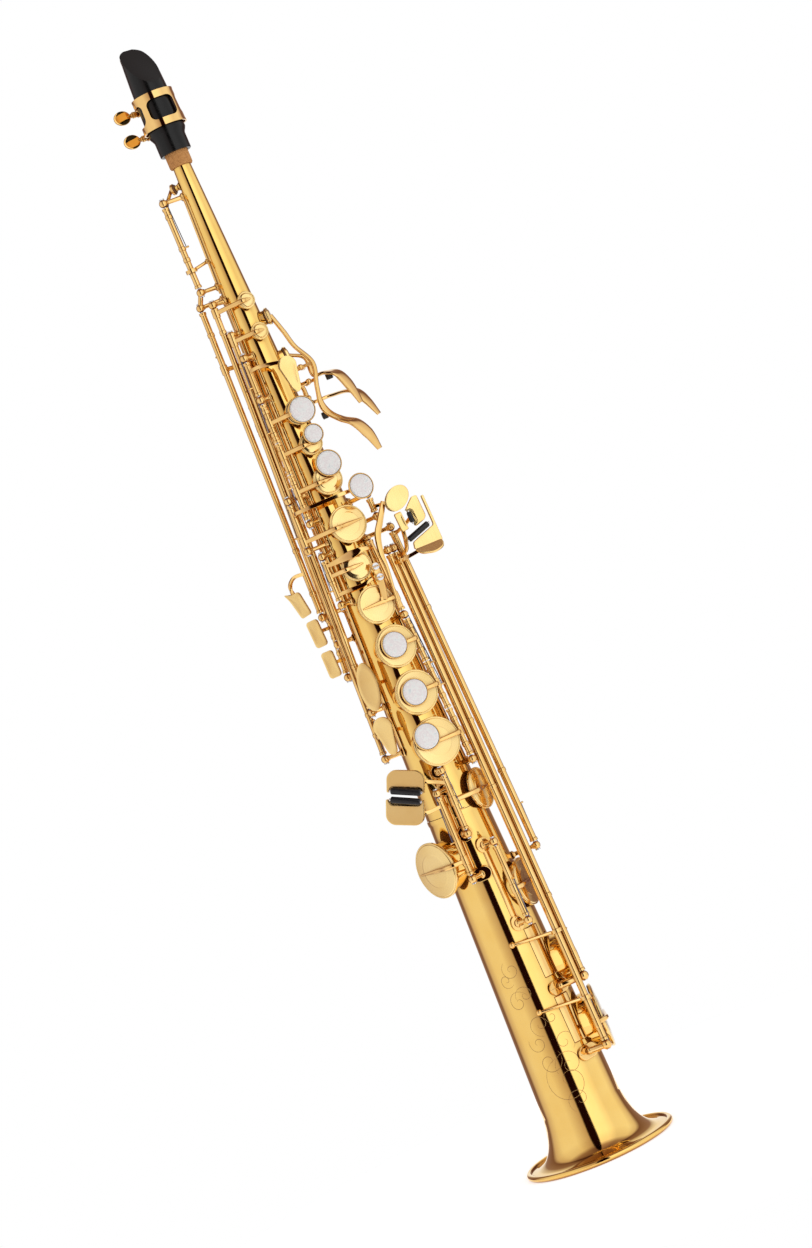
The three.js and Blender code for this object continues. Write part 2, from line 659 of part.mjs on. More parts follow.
const palmF = palmKey("palm_f", holes.palm_f, [18.3, 487], {
  lever: [[17, 510], [19.5, 500], [25.5, 487], [22.5, 474], [20.8, 464], [22.5, 457], [28, 452]],
  web: [24.5, 487],
}, [[82, 34, 450], [82, 42.4, 427]]);
const palmEFlat = palmKey("palm_e_flat", holes.palm_e_flat, [18.5, 478], {
  lever: [[22.5, 492], [23.5, 480], [25, 474]],
  web: [23.4, 478],
}, [[100, 34, 480], [100, 43, 457]]);
const palmD = palmKey("palm_d", holes.palm_d, [18.2, 470], {
  lever: [[22, 478], [22.6, 468]],
  web: [22, 470],
}, [[115, 45, 466], [113, 54, 446]]);
const strap = ([fromAngle, from], [toAngle, to]) =>
  bar(polar(fromAngle, tubeRadius(from) + 1.6, from), polar(toAngle, tubeRadius(to) + 1.6, to), 3, 1, UP);
fixed("palm_key_posts", [
  palmF,
  palmEFlat,
  palmD,
  strap([82, 486], [100, 479]),
  strap([100, 477], [140, 471]),
]);

// ---- octave keys ----
const neckPip = pips.neck_octave;
leverKey("neck_octave", lines.neck_octave, [554.9, 602.6], null, OCTAVE_LIFT, [
  cupOf(neckPip),
  chain([onLine(lines.neck_octave, 601), overCup(neckPip, 5, 3, 606), overCup(neckPip, 0, 0)], 2, 1.8, UP),
], { lever: 9 });

const bodyPip = pips.body_octave;
const bodyOctavePivot = leverHinge(bodyPip.angle, tubeRadius(530) + 6, 530);
const bodyOctaveArm = [
  overCup(bodyPip, 0, 0),
  polar(bodyPip.angle, 16.5, 536),
  polar(bodyPip.angle, 17, 514),
];
const bodyOctaveKey = [
  rod(bodyOctavePivot.low, bodyOctavePivot.high, 1.8),
  cupOf(bodyPip),
  chain(bodyOctaveArm, 2.6, 1.8, sideways(bodyPip.angle)),
  bar(bodyOctavePivot.middle, polar(bodyPip.angle, 16.8, 530), 2.6, 2, sideways(bodyPip.angle)),
];
hinged("body_octave", [["body_octave_key", bodyOctaveKey]], {
  at: bodyOctavePivot.middle,
  axis: sideways(bodyPip.angle),
  range: [0, 0.09],
});

const thumbPivot = leverHinge(180, tubeRadius(475) + 7, 475);
const thumbLever = [
  rod(thumbPivot.low, thumbPivot.high, 1.8),
  chain([polar(180, 16, 507), polar(180, 17.6, 475), polar(180, 19, 465)], 3, 1.8, sideways(180)),
  plate(oval(13, 13), 1.6, facing(180, 18.4, 463)),
];
hinged("octave_thumb_lever", [["octave_thumb_lever", thumbLever]], {
  at: thumbPivot.middle,
  axis: sideways(180),
  range: [0, 0.13],
});
fixed("octave_posts", [
  rib(180, 473, 534, 2),
  rib(bodyPip.angle, 528, 532, 5.4),
  earsOf(bodyOctavePivot, bodyPip.angle),
  rib(180, 473, 477, 5.4),
  earsOf(thumbPivot, 180),
]);

// ---- what the thumbs and the strap use ----
const onTube = (angle, z) => facing(angle, tubeRadius(z) + GAP, z);
fixed("thumb_rest", turned([[0, 0], [3, 0], [3, 3], [6, 4], [5.4, 6], [0, 7]], onTube(172, 447), 12));

const hookBase = tubeRadius(262);
fixed("thumb_hook", [
  rib(180, 252, 272, 5),
  chain([
    polar(180, hookBase + 2, 262),
    polar(180, hookBase + 12, 264),
    polar(180, hookBase + 20, 257),
    polar(180, hookBase + 21, 246),
  ], 10, 2.4, sideways(180)),
]);

const strapMiddle = polar(180, tubeRadius(350) + 8, 350);
const strapEye = new THREE.TorusGeometry(5, 1.3, 6, 14);
fixed("strap_ring", [
  rib(180, 344, 356, 3.5),
  placed(strapEye, frameAt(strapMiddle, sideways(180))),
  rod(polar(180, tubeRadius(350) + 0.6, 350), polar(180, tubeRadius(350) + 3.4, 350), 2, 8),
]);

// ---- mouthpiece ----
const beakward = outward(BEAK_ANGLE);
const BODY_RADIUS = 11.2;
const TABLE = -7.8; // the flat for the reed, from the axis, on the side away from the beak

function makeMouthpiece() {
  const outside = [
    [0, MOUTHPIECE_BOTTOM],
    [9.5, MOUTHPIECE_BOTTOM],
    [9.5, 640],
    [BODY_RADIUS, 643],
    [10.5, 668],
    [9, TIP - 5],
    [6.5, TIP],
    [0, TIP],
  ];
  const hollow = [
    [0, MOUTHPIECE_BOTTOM - 1],
    [7.5, MOUTHPIECE_BOTTOM - 1],
    [7.5, TUBE_TOP + 1],
    [5.5, TUBE_TOP + 4],
    [5, 674],
    [0, 676],
  ];
  const box = (width, depth, height, frame) => placed(new THREE.BoxGeometry(width, height, depth), frame);
  const beak = new THREE.Matrix4().makeBasis(
    sideways(BEAK_ANGLE),
    new THREE.Vector3().addScaledVector(beakward, -16).setZ(25.5).normalize(),
    new THREE.Vector3().addScaledVector(beakward, 25.5).setZ(16).normalize(),
  );
  beak.setPosition(polar(BEAK_ANGLE, 3, 683.5)).multiply(new THREE.Matrix4().makeTranslation(0, 0, 20));
  const slope = box(40, 40, 60, beak);
  const flat = box(40, 20, 60, facing(BEAK_ANGLE, TABLE - 10, 673));
  const window = box(8.4, 8, 24, facing(BEAK_ANGLE, -6.5, 680));
  return cut(turned(outside, undefined, 20), [turned(hollow, undefined, 14), slope, flat, window]);
}

function makeReed() {
  const profile = new THREE.Shape();
  profile.moveTo(0, 643.5);
  profile.lineTo(0, TIP - 0.7);
  profile.lineTo(0.4, TIP - 0.7);
  profile.quadraticCurveTo(0.9, 682, 1.9, 671);
  profile.lineTo(1.9, 643.5);
  profile.closePath();
  const across = sideways(BEAK_ANGLE);
  const frame = new THREE.Matrix4().makeBasis(beakward.clone().negate(), UP, across);
  frame.setPosition(polar(BEAK_ANGLE, TABLE - GAP, 0).addScaledVector(across, -5.6).setZ(0));
  return plate(profile, 11.2, frame);
}

// The mouthpiece's outer radius under the ligature, with the ligature's standoff.
const ligatureRadius = (z) => 10.5 + ((668 - z) / 25) * 0.7 + 1.2;

function ligatureRing(inner, outer, from, to) {
  const low = ligatureRadius(from);
  const high = ligatureRadius(to);
  const ring = [[low + inner, from], [low + outer, from], [high + outer, to], [high + inner, to]];
  return turned([...ring, ring[0]], undefined, 18);
}

const WINDOW_ANGLES = [-82, 16, 114];
const screwHeights = [662.5, 647.5];
const screwRadius = 16.4;
const screwAngle = BEAK_ANGLE + 180;

function makeLigature() {
  const windows = WINDOW_ANGLES.map((angle) => plate(roundedBox(13, 12, 3), 10, facing(angle, 7, 656.5)));
  const split = placed(new THREE.BoxGeometry(2, 30, 8), facing(screwAngle, 14, 656));
  const band = cut(ligatureRing(0, 0.8, 646, 667), [windows, split]);
  const lugs = screwHeights.flatMap((z) =>
    [-3.4, 3.4].map((side) => {
      const middle = polar(screwAngle, 15.6, z).addScaledVector(sideways(screwAngle), side);
      const frame = facing(screwAngle, 0, 0).setPosition(middle);
      const lug = placed(new THREE.BoxGeometry(3.4, 5, 7.6), frame);
      const through = polar(screwAngle, screwRadius, z);
      const hole = rod(
        through.clone().addScaledVector(sideways(screwAngle), side - 3),
        through.clone().addScaledVector(sideways(screwAngle), side + 3),
        1.3,
      );
      return cut(lug, hole);
    }),
  );
  return cut(union([band, lugs]), ligatureRing(-3, 0, 640, 674));
}

function ligatureScrew(z) {
  const middle = polar(screwAngle, screwRadius, z);
  const at = (distance) => middle.clone().addScaledVector(sideways(screwAngle), distance);
  const paddle = frameAt(at(15).addScaledVector(outward(screwAngle), -0.6), outward(screwAngle), UP);
  return [rod(at(-6), at(11), 0.9), rod(at(5.6), at(8), 1.9), plate(oval(9.5, 7.5), 1.2, paddle)];
}

const mouthpieceGroup = new THREE.Group();
mouthpieceGroup.name = "mouthpiece_assembly";
mouthpieceGroup.userData = {
  kind: "slide",
  axis: UP.clone(),
  range: [-2, 10],
  parent: "body",
  drawn: new THREE.Matrix4(),
};
mouthpieceGroup.add(
  meshOf("mouthpiece", makeMouthpiece(), EBONITE),
  meshOf("reed", makeReed(), CANE),
  meshOf("ligature", makeLigature(), GOLD),
);
instrument.add(mouthpieceGroup);
bodies.set("mouthpiece_assembly", mouthpieceGroup);
screwHeights.forEach((z, i) => {
  const name = ["ligature_screw_upper", "ligature_screw_lower"][i];
  hinged(name, [[name, ligatureScrew(z)]], {
    at: polar(screwAngle, screwRadius, z),
    axis: sideways(screwAngle),
    range: "continuous",
    parent: "mouthpiece_assembly",
  });
});

// ---- rollers on the little-finger plates ----
function roller(name, parent, from, to, radius) {
  const [low, high] = [vector(...from), vector(...to)];
  const axis = high.clone().sub(low).normalize();
  hinged(name, [[name, rod(low, high, radius, 10), EBONITE]], {
    at: low.clone().add(high).multiplyScalar(0.5),
    axis,
    range: "continuous",
    parent,
  });
}

roller("table_roller_upper", "low_c_sharp_lever", [42.3, -13.1, 378.6], [42.3, -13.1, 385], 1.5);
roller("table_roller_lower", "low_b_flat", [36, -18, 369.9], [50.2, -15.5, 374.6], 1.8);
roller("little_finger_roller_upper", "low_e_flat", [-29.9, -30.5, 241.6], [-14.3, -34.4, 234.1], 1.5);
roller("little_finger_roller_lower", "low_c", [-31.9, -30.2, 236.9], [-16.6, -34, 229.3], 1.5);

// The origin is on the plane that the rim stands on, under the middle of the instrument's bounding box.
const soprano = new THREE.Group();
soprano.name = "soprano";
soprano.add(instrument);
const box = new THREE.Box3().setFromObject(instrument, true);
const centre = box.getCenter(new THREE.Vector3());
instrument.position.set(-centre.x, -centre.y, -box.min.z);

export default soprano;
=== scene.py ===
import json
import math

import bmesh
import bpy
from mathutils import Matrix, Vector


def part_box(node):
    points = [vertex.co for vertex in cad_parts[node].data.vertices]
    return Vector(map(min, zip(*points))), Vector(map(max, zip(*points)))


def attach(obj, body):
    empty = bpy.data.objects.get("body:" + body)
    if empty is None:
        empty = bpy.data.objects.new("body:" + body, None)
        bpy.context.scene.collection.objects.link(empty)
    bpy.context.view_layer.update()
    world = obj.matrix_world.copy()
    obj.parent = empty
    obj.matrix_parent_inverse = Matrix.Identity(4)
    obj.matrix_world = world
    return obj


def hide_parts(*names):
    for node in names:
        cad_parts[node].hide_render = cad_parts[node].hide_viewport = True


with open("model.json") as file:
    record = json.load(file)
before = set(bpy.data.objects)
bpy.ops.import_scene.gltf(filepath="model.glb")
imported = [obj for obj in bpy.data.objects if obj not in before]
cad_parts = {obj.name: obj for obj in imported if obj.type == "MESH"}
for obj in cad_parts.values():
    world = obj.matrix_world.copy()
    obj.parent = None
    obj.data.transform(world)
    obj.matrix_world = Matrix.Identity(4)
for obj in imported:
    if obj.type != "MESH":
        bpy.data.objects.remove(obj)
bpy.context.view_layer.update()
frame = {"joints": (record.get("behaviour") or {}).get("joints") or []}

# ---- driving dimensions, in millimetres ----
MM = 0.001
CORK_LOW, CORK_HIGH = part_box("neck_cork")
AXIS = (CORK_LOW + CORK_HIGH) / 2 * Vector((1, 1, 0))  # where the bore stands in the row frame, in metres
RIM_RADIUS = (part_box("bell")[1].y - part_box("bell")[0].y) / 2 / MM
BELL_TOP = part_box("bell")[1].z / MM
TUBE_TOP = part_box("body_tube")[1].z / MM
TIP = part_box("mouthpiece")[1].z / MM
MOUTHPIECE_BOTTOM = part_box("mouthpiece")[0].z / MM
THROAT = 30  # the cone ends and the flare starts
NECK_START = 540
LONG_SLEEVE = 2.1  # radius of the long hinge tubes to the bell
NECK_RADIUS = 8.3
BODY_TAPER = 0.0306
NECK_TAPER = 0.0351
WALL = 0.9
PAD = 1.7  # how far a pad stands out of its cup
CUP = 1.5
SEAT = 0.84  # a tone hole's outer radius as a share of its cup's
SEAT_GAP = 0.2
SLEEVE = 1.8  # radius of a key's hinge tube
BALL = 2.5
SMALL_BALL = 1.7  # the post under the G cup's edge
RIGHT_TOP = 380.4  # the height of that post
EDGE = 0.35  # how much a plate's edges are rounded
BEAK_ANGLE = 30
TABLE = 7.8  # the flat under the reed, from the axis
RANGE_SHARE = 0.97  # a joint's range as a share of the turn that would close or fully lift its pad
END_SHARE, END_LENGTH = 0.7, 0.3  # the softened ends of a forged arm
PIN = 0.85  # radius of the steel rods in the hinge tubes
SCREW_HEAD, SCREW_SLOT = 2.05, 0.28  # an adjusting screw's radius, and half its slot's width
UP = Vector((0, 0, 1))
ASKEW = Vector((0.31, 0.2, 0.93))  # a direction that no wire runs along


# ---- the camera ----
def add_camera():
    distance, height, aside, roll = 1.795, 0.326, 0.0156, math.radians(23.08)
    focal_length, film_width = 89, 36
    data = bpy.data.cameras.new("camera")
    data.lens = focal_length
    data.sensor_width = film_width
    camera = bpy.data.objects.new("camera", data)
    bpy.context.scene.collection.objects.link(camera)
    right = Vector((math.cos(roll), 0, -math.sin(roll)))
    up = Vector((math.sin(roll), 0, math.cos(roll)))
    turn = Matrix((right, up, Vector((0, -1, 0)))).transposed()
    place = Vector((AXIS.x + aside, -distance, height))
    camera.matrix_world = Matrix.Translation(place) @ turn.to_4x4()
    bpy.context.scene.camera = camera


add_camera()


# ---- places around the bore ----
def outward(angle):
    turn = math.radians(angle)
    return Vector((math.sin(turn), -math.cos(turn), 0))


def sideways(angle):
    turn = math.radians(angle)
    return Vector((math.cos(turn), math.sin(turn), 0))


def polar(angle, radius, z):
    return outward(angle) * radius + UP * z


def tube_radius(z):
    """The tube's outer radius: one cone for the body, a slightly steeper one for the neck."""
    taper = NECK_TAPER if z > NECK_START else BODY_TAPER
    return NECK_RADIUS + (NECK_START - z) * taper


def basis(x, y, z, place):
    return Matrix.Translation(place) @ Matrix((x, y, z)).transposed().to_4x4()


def facing(angle, radius, z):
    """x runs sideways, y up and z outward."""
    return basis(sideways(angle), UP, outward(angle), polar(angle, radius, z))


def frame_at(point, direction, up=UP):
    """z runs along a direction, and y as near `up` as that allows."""
    z = direction.normalized()
    x = up.cross(z)
    if x.length < 1e-6:
        x = Vector((0, 1, 0)).cross(z)
    x.normalize()
    return basis(x, z.cross(x), z, point)


# ---- solids: each is a list of points and a list of faces ----
def moved(solid, matrix):
    points, faces = solid
    return [matrix @ point for point in points], faces


def joined(solids):
    points, faces = [], []
    for part_points, part_faces in solids:
        start = len(points)
        points += part_points
        faces += [[i + start for i in face] for face in part_faces]
    return points, faces


def flat_list(solids):
    """Solids that may be nested in lists, as one flat list."""
    found = []
    for item in solids:
        if isinstance(item, list):
            found += flat_list(item)
        else:
            found.append(item)
    return found


def skin(points, count):
    """The closed solid over rings of `count` points each, one after the other."""
    faces = [list(range(count))[::-1], list(range(len(points) - count, len(points)))]
    for start in range(0, len(points) - count, count):
        for i in range(count):
            j = (i + 1) % count
            faces.append([start + i, start + j, start + count + j, start + count + i])
    return points, faces


def vectors(rows):
    return [Vector(row) for row in rows]


def rounded(profile, radius=EDGE, steps=3):
    """The same outline with its inner corners rounded. Its two ends stay."""
    points = [profile[0]]
    for before, corner, after in zip(profile, profile[1:], profile[2:]):
        corner = Vector(corner)
        to_before, to_after = Vector(before) - corner, Vector(after) - corner
        reach = min(radius, to_before.length / 2.1, to_after.length / 2.1)
        start = corner + to_before.normalized() * reach
        end = corner + to_after.normalized() * reach
        for step in range(steps + 1):
            share = step / steps
            bend = start * (1 - share) ** 2 + corner * 2 * share * (1 - share) + end * share**2
            points.append(tuple(bend))
    return points + [profile[-1]]


def turned(profile, matrix=Matrix(), sides=32):
    """A profile of (radius, height) pairs turned about local z. It ends on the axis or closes on itself."""
    closed = profile[0] == profile[-1]
    rings, points, faces = [], [], []
    for radius, height in profile[:-1] if closed else profile:
        if radius < 1e-6:
            rings.append([len(points)] * sides)
            points.append(Vector((0, 0, height)))
            continue
        rings.append([len(points) + i for i in range(sides)])
        for i in range(sides):
            turn = 2 * math.pi * i / sides
            points.append(Vector((radius * math.cos(turn), radius * math.sin(turn), height)))
    pairs = list(zip(rings, rings[1:])) + ([(rings[-1], rings[0])] if closed else [])
    for low, high in pairs:
        for i in range(sides):
            j = (i + 1) % sides
            corners = [low[i], low[j], high[j], high[i]]
            face = [c for n, c in enumerate(corners) if c != corners[n - 1]]
            if len(face) > 2:
                faces.append(face)
    return moved((points, faces), matrix)


def disc(radius, low, high, matrix=Matrix(), sides=32, edge=0.2):
    return turned(rounded([(0, low), (radius, low), (radius, high), (0, high)], edge), matrix, sides)


def rod(start, end, radius=SLEEVE, sides=16, edge=0.2):
    return disc(radius, 0, (end - start).length, frame_at(start, end - start), sides, edge)


def ball(centre, radius=BALL, sides=16):
    rings = sides // 2
    arc = [math.pi * i / rings for i in range(rings + 1)]
    profile = [
        (radius * math.sin(a) if 0 < i < rings else 0, -radius * math.cos(a)) for i, a in enumerate(arc)
    ]
    return turned(profile, Matrix.Translation(centre), sides)


def smooth_path(points, steps=6):
    """A smooth line through all the points."""
    padded = [points[0] * 2 - points[1]] + list(points) + [points[-1] * 2 - points[-2]]
    path = []
    for a, b, c, d in zip(padded, padded[1:], padded[2:], padded[3:]):
        for step in range(steps):
            t = step / steps
            path.append(0.5 * (2 * b + (c - a) * t + (2 * a - 5 * b + 4 * c - d) * t**2
                               + (3 * b - a - 3 * c + d) * t**3))
    return path + [points[-1]]


def sweep(path, sections, broad=UP, sides=12, squareness=4):
    """A bar along a path. Each section is (width across `broad`, thickness); its corners are rounded."""
    outline = []
    for i in range(sides):
        turn = 2 * math.pi * (i + 0.5) / sides
        cos, sin = math.cos(turn), math.sin(turn)
        scale = (abs(cos) ** squareness + abs(sin) ** squareness) ** (-1 / squareness)
        outline.append((cos * scale / 2, sin * scale / 2))
    points = []
    for i, place in enumerate(path):
        along = path[min(i + 1, len(path) - 1)] - path[max(i - 1, 0)]
        matrix = frame_at(place, along, broad)
        share = i / (len(path) - 1) * (len(sections) - 1)
        low = min(int(share), len(sections) - 2)
        mix = share - low
        width = sections[low][0] * (1 - mix) + sections[low + 1][0] * mix
        thick = sections[low][1] * (1 - mix) + sections[low + 1][1] * mix
        points += [matrix @ Vector((x * thick, y * width, 0)) for x, y in outline]
    return skin(points, sides)


def arm(points, width, thickness, broad=UP):
    """A forged arm through some points, with softened ends."""
    path = smooth_path(points)
    size, end_size = (width, thickness), (width * END_SHARE, thickness * END_SHARE)
    cap = END_LENGTH * (path[-1] - path[-2]).normalized()
    foot = END_LENGTH * (path[0] - path[1]).normalized()
    return [
        sweep(path, [size, size], broad),
        sweep([path[-1], path[-1] + cap], [size, end_size], broad),
        sweep([path[0] + foot, path[0]], [end_size, size], broad),
    ]


def wire(points, radius):
    return sweep(smooth_path(points), [(2 * radius, 2 * radius)] * 2, ASKEW, 8, 2)


def rounded_outline(corners, radius=1.2):
    """A closed outline, anticlockwise, with its corners rounded."""
    pairs = zip(corners, corners[1:] + corners[:1])
    if sum(a[0] * b[1] - b[0] * a[1] for a, b in pairs) < 0:
        corners = corners[::-1]
    return rounded([corners[-1]] + corners + [corners[0]], radius, 4)[1:-1]


def inset(outline, distance):
    """An anticlockwise outline moved inwards."""
    found = []
    for before, point, after in zip(outline[-1:] + outline[:-1], outline, outline[1:] + outline[:1]):
        along = (Vector(after) - Vector(before)).normalized()
        found.append((point[0] - along.y * distance, point[1] + along.x * distance))
    return found


def plate(outline, thickness, matrix, edge=EDGE, dome=0.0):
    """A plate with rounded edges, its back on the local xy plane. `dome` raises its middle, or sinks it."""
    high = thickness - edge
    levels = [
        (edge + 0.3, 0), (edge, 0), (edge * 0.3, edge * 0.3), (0, edge), (0, high),
        (edge * 0.3, high + edge * 0.7), (edge, thickness),
    ]
    if not dome:
        levels.append((edge + 0.3, thickness))
    rings = [[(x, y, height) for x, y in inset(outline, distance)] for distance, height in levels]
    rim = inset(outline, edge)
    for share in (0.75, 0.45, 0.15) if dome else ():
        rings.append([(x * share, y * share, thickness + dome * (1 - share**2)) for x, y in rim])
    return moved(skin(vectors(point for ring in rings for point in ring), len(outline)), matrix)


def arc(cx, cy, radius, start, end, steps=8):
    angles = [math.radians(start + (end - start) * i / steps) for i in range(steps + 1)]
    return [(cx + radius * math.cos(a), cy + radius * math.sin(a)) for a in angles]


def oval(width, height, steps=32):
    turns = [2 * math.pi * i / steps for i in range(steps)]
    return [(width / 2 * math.cos(a), height / 2 * math.sin(a)) for a in turns]


def rounded_box(width, height, corner):
    x, y = width / 2 - corner, height / 2 - corner
    corners = [(x, y, 0), (-x, y, 90), (-x, -y, 180), (x, -y, 270)]
    return [point for cx, cy, start in corners for point in arc(cx, cy, corner, start, start + 90, 5)]


def teardrop(width, height):
    """Round and wide at the top, narrow at the bottom."""
    wide, narrow = width / 2, width / 4
    return arc(0, height / 2 - wide, wide, 0, 180, 14) + arc(0, narrow - height / 2, narrow, 180, 360, 10)


# ---- materials ----
def nodes_of(name):
    material = bpy.data.materials.new(name)
    material.use_nodes = True
    tree = material.node_tree
    return material, tree, tree.nodes["Principled BSDF"]


def link(tree, source, target):
    tree.links.new(source, target)


def drive(tree, shader, colour, roughness, normal):
    """Links what a material's colour, roughness and relief come from."""
    for name, source in (("Base Color", colour), ("Roughness", roughness), ("Normal", normal)):
        link(tree, source, shader.inputs[name])


def place_nodes(tree, scale=(1, 1, 1)):
    """Object coordinates, stretched by `scale`."""
    place = tree.nodes.new("ShaderNodeTexCoord")
    mapping = tree.nodes.new("ShaderNodeMapping")
    mapping.inputs["Scale"].default_value = scale
    link(tree, place.outputs["Object"], mapping.inputs["Vector"])
    return mapping.outputs["Vector"]


def noise(tree, vector, scale, detail, roughness=0.5):
    node = tree.nodes.new("ShaderNodeTexNoise")
    node.inputs["Scale"].default_value = scale
    node.inputs["Detail"].default_value = detail
    node.inputs["Roughness"].default_value = roughness
    link(tree, vector, node.inputs["Vector"])
    return node.outputs["Fac"]


def cells(tree, vector, scale):
    node = tree.nodes.new("ShaderNodeTexVoronoi")
    node.inputs["Scale"].default_value = scale
    link(tree, vector, node.inputs["Vector"])
    return node.outputs["Distance"]


def ramp(tree, value, stops):
    node = tree.nodes.new("ShaderNodeValToRGB")
    elements = node.color_ramp.elements
    elements[0].position, elements[0].color = stops[0][0], (*stops[0][1], 1)
    elements[1].position, elements[1].color = stops[-1][0], (*stops[-1][1], 1)
    for position, colour in stops[1:-1]:
        elements.new(position).color = (*colour, 1)
    link(tree, value, node.inputs["Fac"])
    return node.outputs["Color"]


def spread(tree, value, low, high):
    node = tree.nodes.new("ShaderNodeMapRange")
    node.inputs["From Min"].default_value = 0.3
    node.inputs["From Max"].default_value = 0.7
    node.inputs["To Min"].default_value = low
    node.inputs["To Max"].default_value = high
    link(tree, value, node.inputs["Value"])
    return node.outputs["Result"]


def bump(tree, height, strength, distance=0.1 * MM):
    node = tree.nodes.new("ShaderNodeBump")
    node.inputs["Strength"].default_value = strength
    node.inputs["Distance"].default_value = distance
    link(tree, height, node.inputs["Height"])
    return node.outputs["Normal"]


def blend(tree, share, first, second, kind="MIX"):
    """Two colours blended. Each input is a socket or a plain value."""
    node = tree.nodes.new("ShaderNodeMix")
    node.data_type = "RGBA"
    node.blend_type = kind
    for name, value in (("Factor", share), ("A", first), ("B", second)):
        if isinstance(value, bpy.types.NodeSocket):
            link(tree, value, node.inputs[name])
        else:
            node.inputs[name].default_value = value
    return node.outputs["Result"]


CREVICE = 4  # how near another surface the painted crevice shade starts, in millimetres
# painted shade: the dark brown that the brass is darkened to where other parts are close
CREVICE_SHADE = (0.34, 0.19, 0.12)


def painted_crevice_shade(tree):
    """White in the open, down to a dark brown of painted shade where other surfaces are close."""
    node = tree.nodes.new("ShaderNodeAmbientOcclusion")
    node.samples = 6
    node.inputs["Distance"].default_value = CREVICE * MM
    return ramp(tree, node.outputs["AO"], [(0.25, CREVICE_SHADE), (0.85, (1, 1, 1))])


def lacquer(name, light, dark, smooth, rough, brushed=(1, 1, 1), grain=0.06):
    """Polished brass under clear lacquer: slight changes of tone, fine wear, and painted shade in the
    crevices.
    """
    material, tree, shader = nodes_of(name)
    clean = ramp(tree, noise(tree, place_nodes(tree), 60, 4), [(0.3, dark), (0.7, light)])
    # painted shade: the tone is multiplied down towards dark brown where other surfaces are close
    shaded_tone = blend(tree, 1.0, clean, painted_crevice_shade(tree), "MULTIPLY")
    wear = noise(tree, place_nodes(tree, brushed), 900, 5, 0.6)
    drive(tree, shader, shaded_tone, spread(tree, wear, smooth, rough), bump(tree, wear, grain))
    shader.inputs["Metallic"].default_value = 1
    shader.inputs["Coat Weight"].default_value = 0.25
    shader.inputs["Coat Roughness"].default_value = 0.04
    return material


def nacre():
    material, tree, shader = nodes_of("nacre")
    layers = noise(tree, place_nodes(tree), 380, 5, 0.6)
    colours = [
        (0.3, (0.68, 0.74, 0.76)), (0.45, (0.90, 0.91, 0.88)), (0.56, (0.84, 0.79, 0.79)),
        (0.7, (0.95, 0.95, 0.90)),
    ]
    sheen = spread(tree, layers, 0.16, 0.3)
    drive(tree, shader, ramp(tree, layers, colours), sheen, bump(tree, layers, 0.15))
    shader.inputs["Coat Weight"].default_value = 0.7
    shader.inputs["Coat Roughness"].default_value = 0.08
    shader.inputs["Sheen Weight"].default_value = 0.2
    return material


def dark_gloss(name, colour, smooth, rough, grain):
    material, tree, shader = nodes_of(name)
    fine = noise(tree, place_nodes(tree), 700, 4, 0.55)
    lighter = tuple(c * 1.8 for c in colour)
    tone = ramp(tree, fine, [(0.3, colour), (0.7, lighter)])
    drive(tree, shader, tone, spread(tree, fine, smooth, rough), bump(tree, fine, grain))
    shader.inputs["Specular IOR Level"].default_value = 0.3
    return material


def cork():
    material, tree, shader = nodes_of("cork")
    place = place_nodes(tree)
    blotches = noise(tree, place, 900, 6, 0.7)
    colours = [(0.3, (0.20, 0.08, 0.03)), (0.4, (0.50, 0.22, 0.06)), (0.7, (0.66, 0.33, 0.11))]
    relief = bump(tree, cells(tree, place, 900), 0.4, 0.2 * MM)
    drive(tree, shader, ramp(tree, blotches, colours), spread(tree, blotches, 0.75, 0.95), relief)
    return material


def cane():
    material, tree, shader = nodes_of("cane")
    fibres = noise(tree, place_nodes(tree, (9, 9, 0.5)), 260, 5, 0.6)
    colours = [(0.3, (0.46, 0.30, 0.12)), (0.5, (0.72, 0.55, 0.28)), (0.7, (0.82, 0.68, 0.40))]
    tone = ramp(tree, fibres, colours)
    drive(tree, shader, tone, spread(tree, fibres, 0.45, 0.65), bump(tree, fibres, 0.3))
    return material


def leather(name, colour):
    material, tree, shader = nodes_of(name)
    place = place_nodes(tree)
    tone = noise(tree, place, 300, 4)
    lighter = tuple(min(1, c * 1.7) for c in colour)
    hide = ramp(tree, tone, [(0.3, colour), (0.7, lighter)])
    drive(tree, shader, hide, spread(tree, tone, 0.5, 0.75), bump(tree, cells(tree, place, 1400), 0.35))
    return material


def metal(name, colour, smooth, rough):
    material, tree, shader = nodes_of(name)
    wear = noise(tree, place_nodes(tree, (1, 1, 4)), 1200, 4, 0.6)
    darker = tuple(c * 0.75 for c in colour)
    tone = ramp(tree, wear, [(0.3, darker), (0.7, colour)])
    drive(tree, shader, tone, spread(tree, wear, smooth, rough), bump(tree, wear, 0.08))
    shader.inputs["Metallic"].default_value = 1
    return material


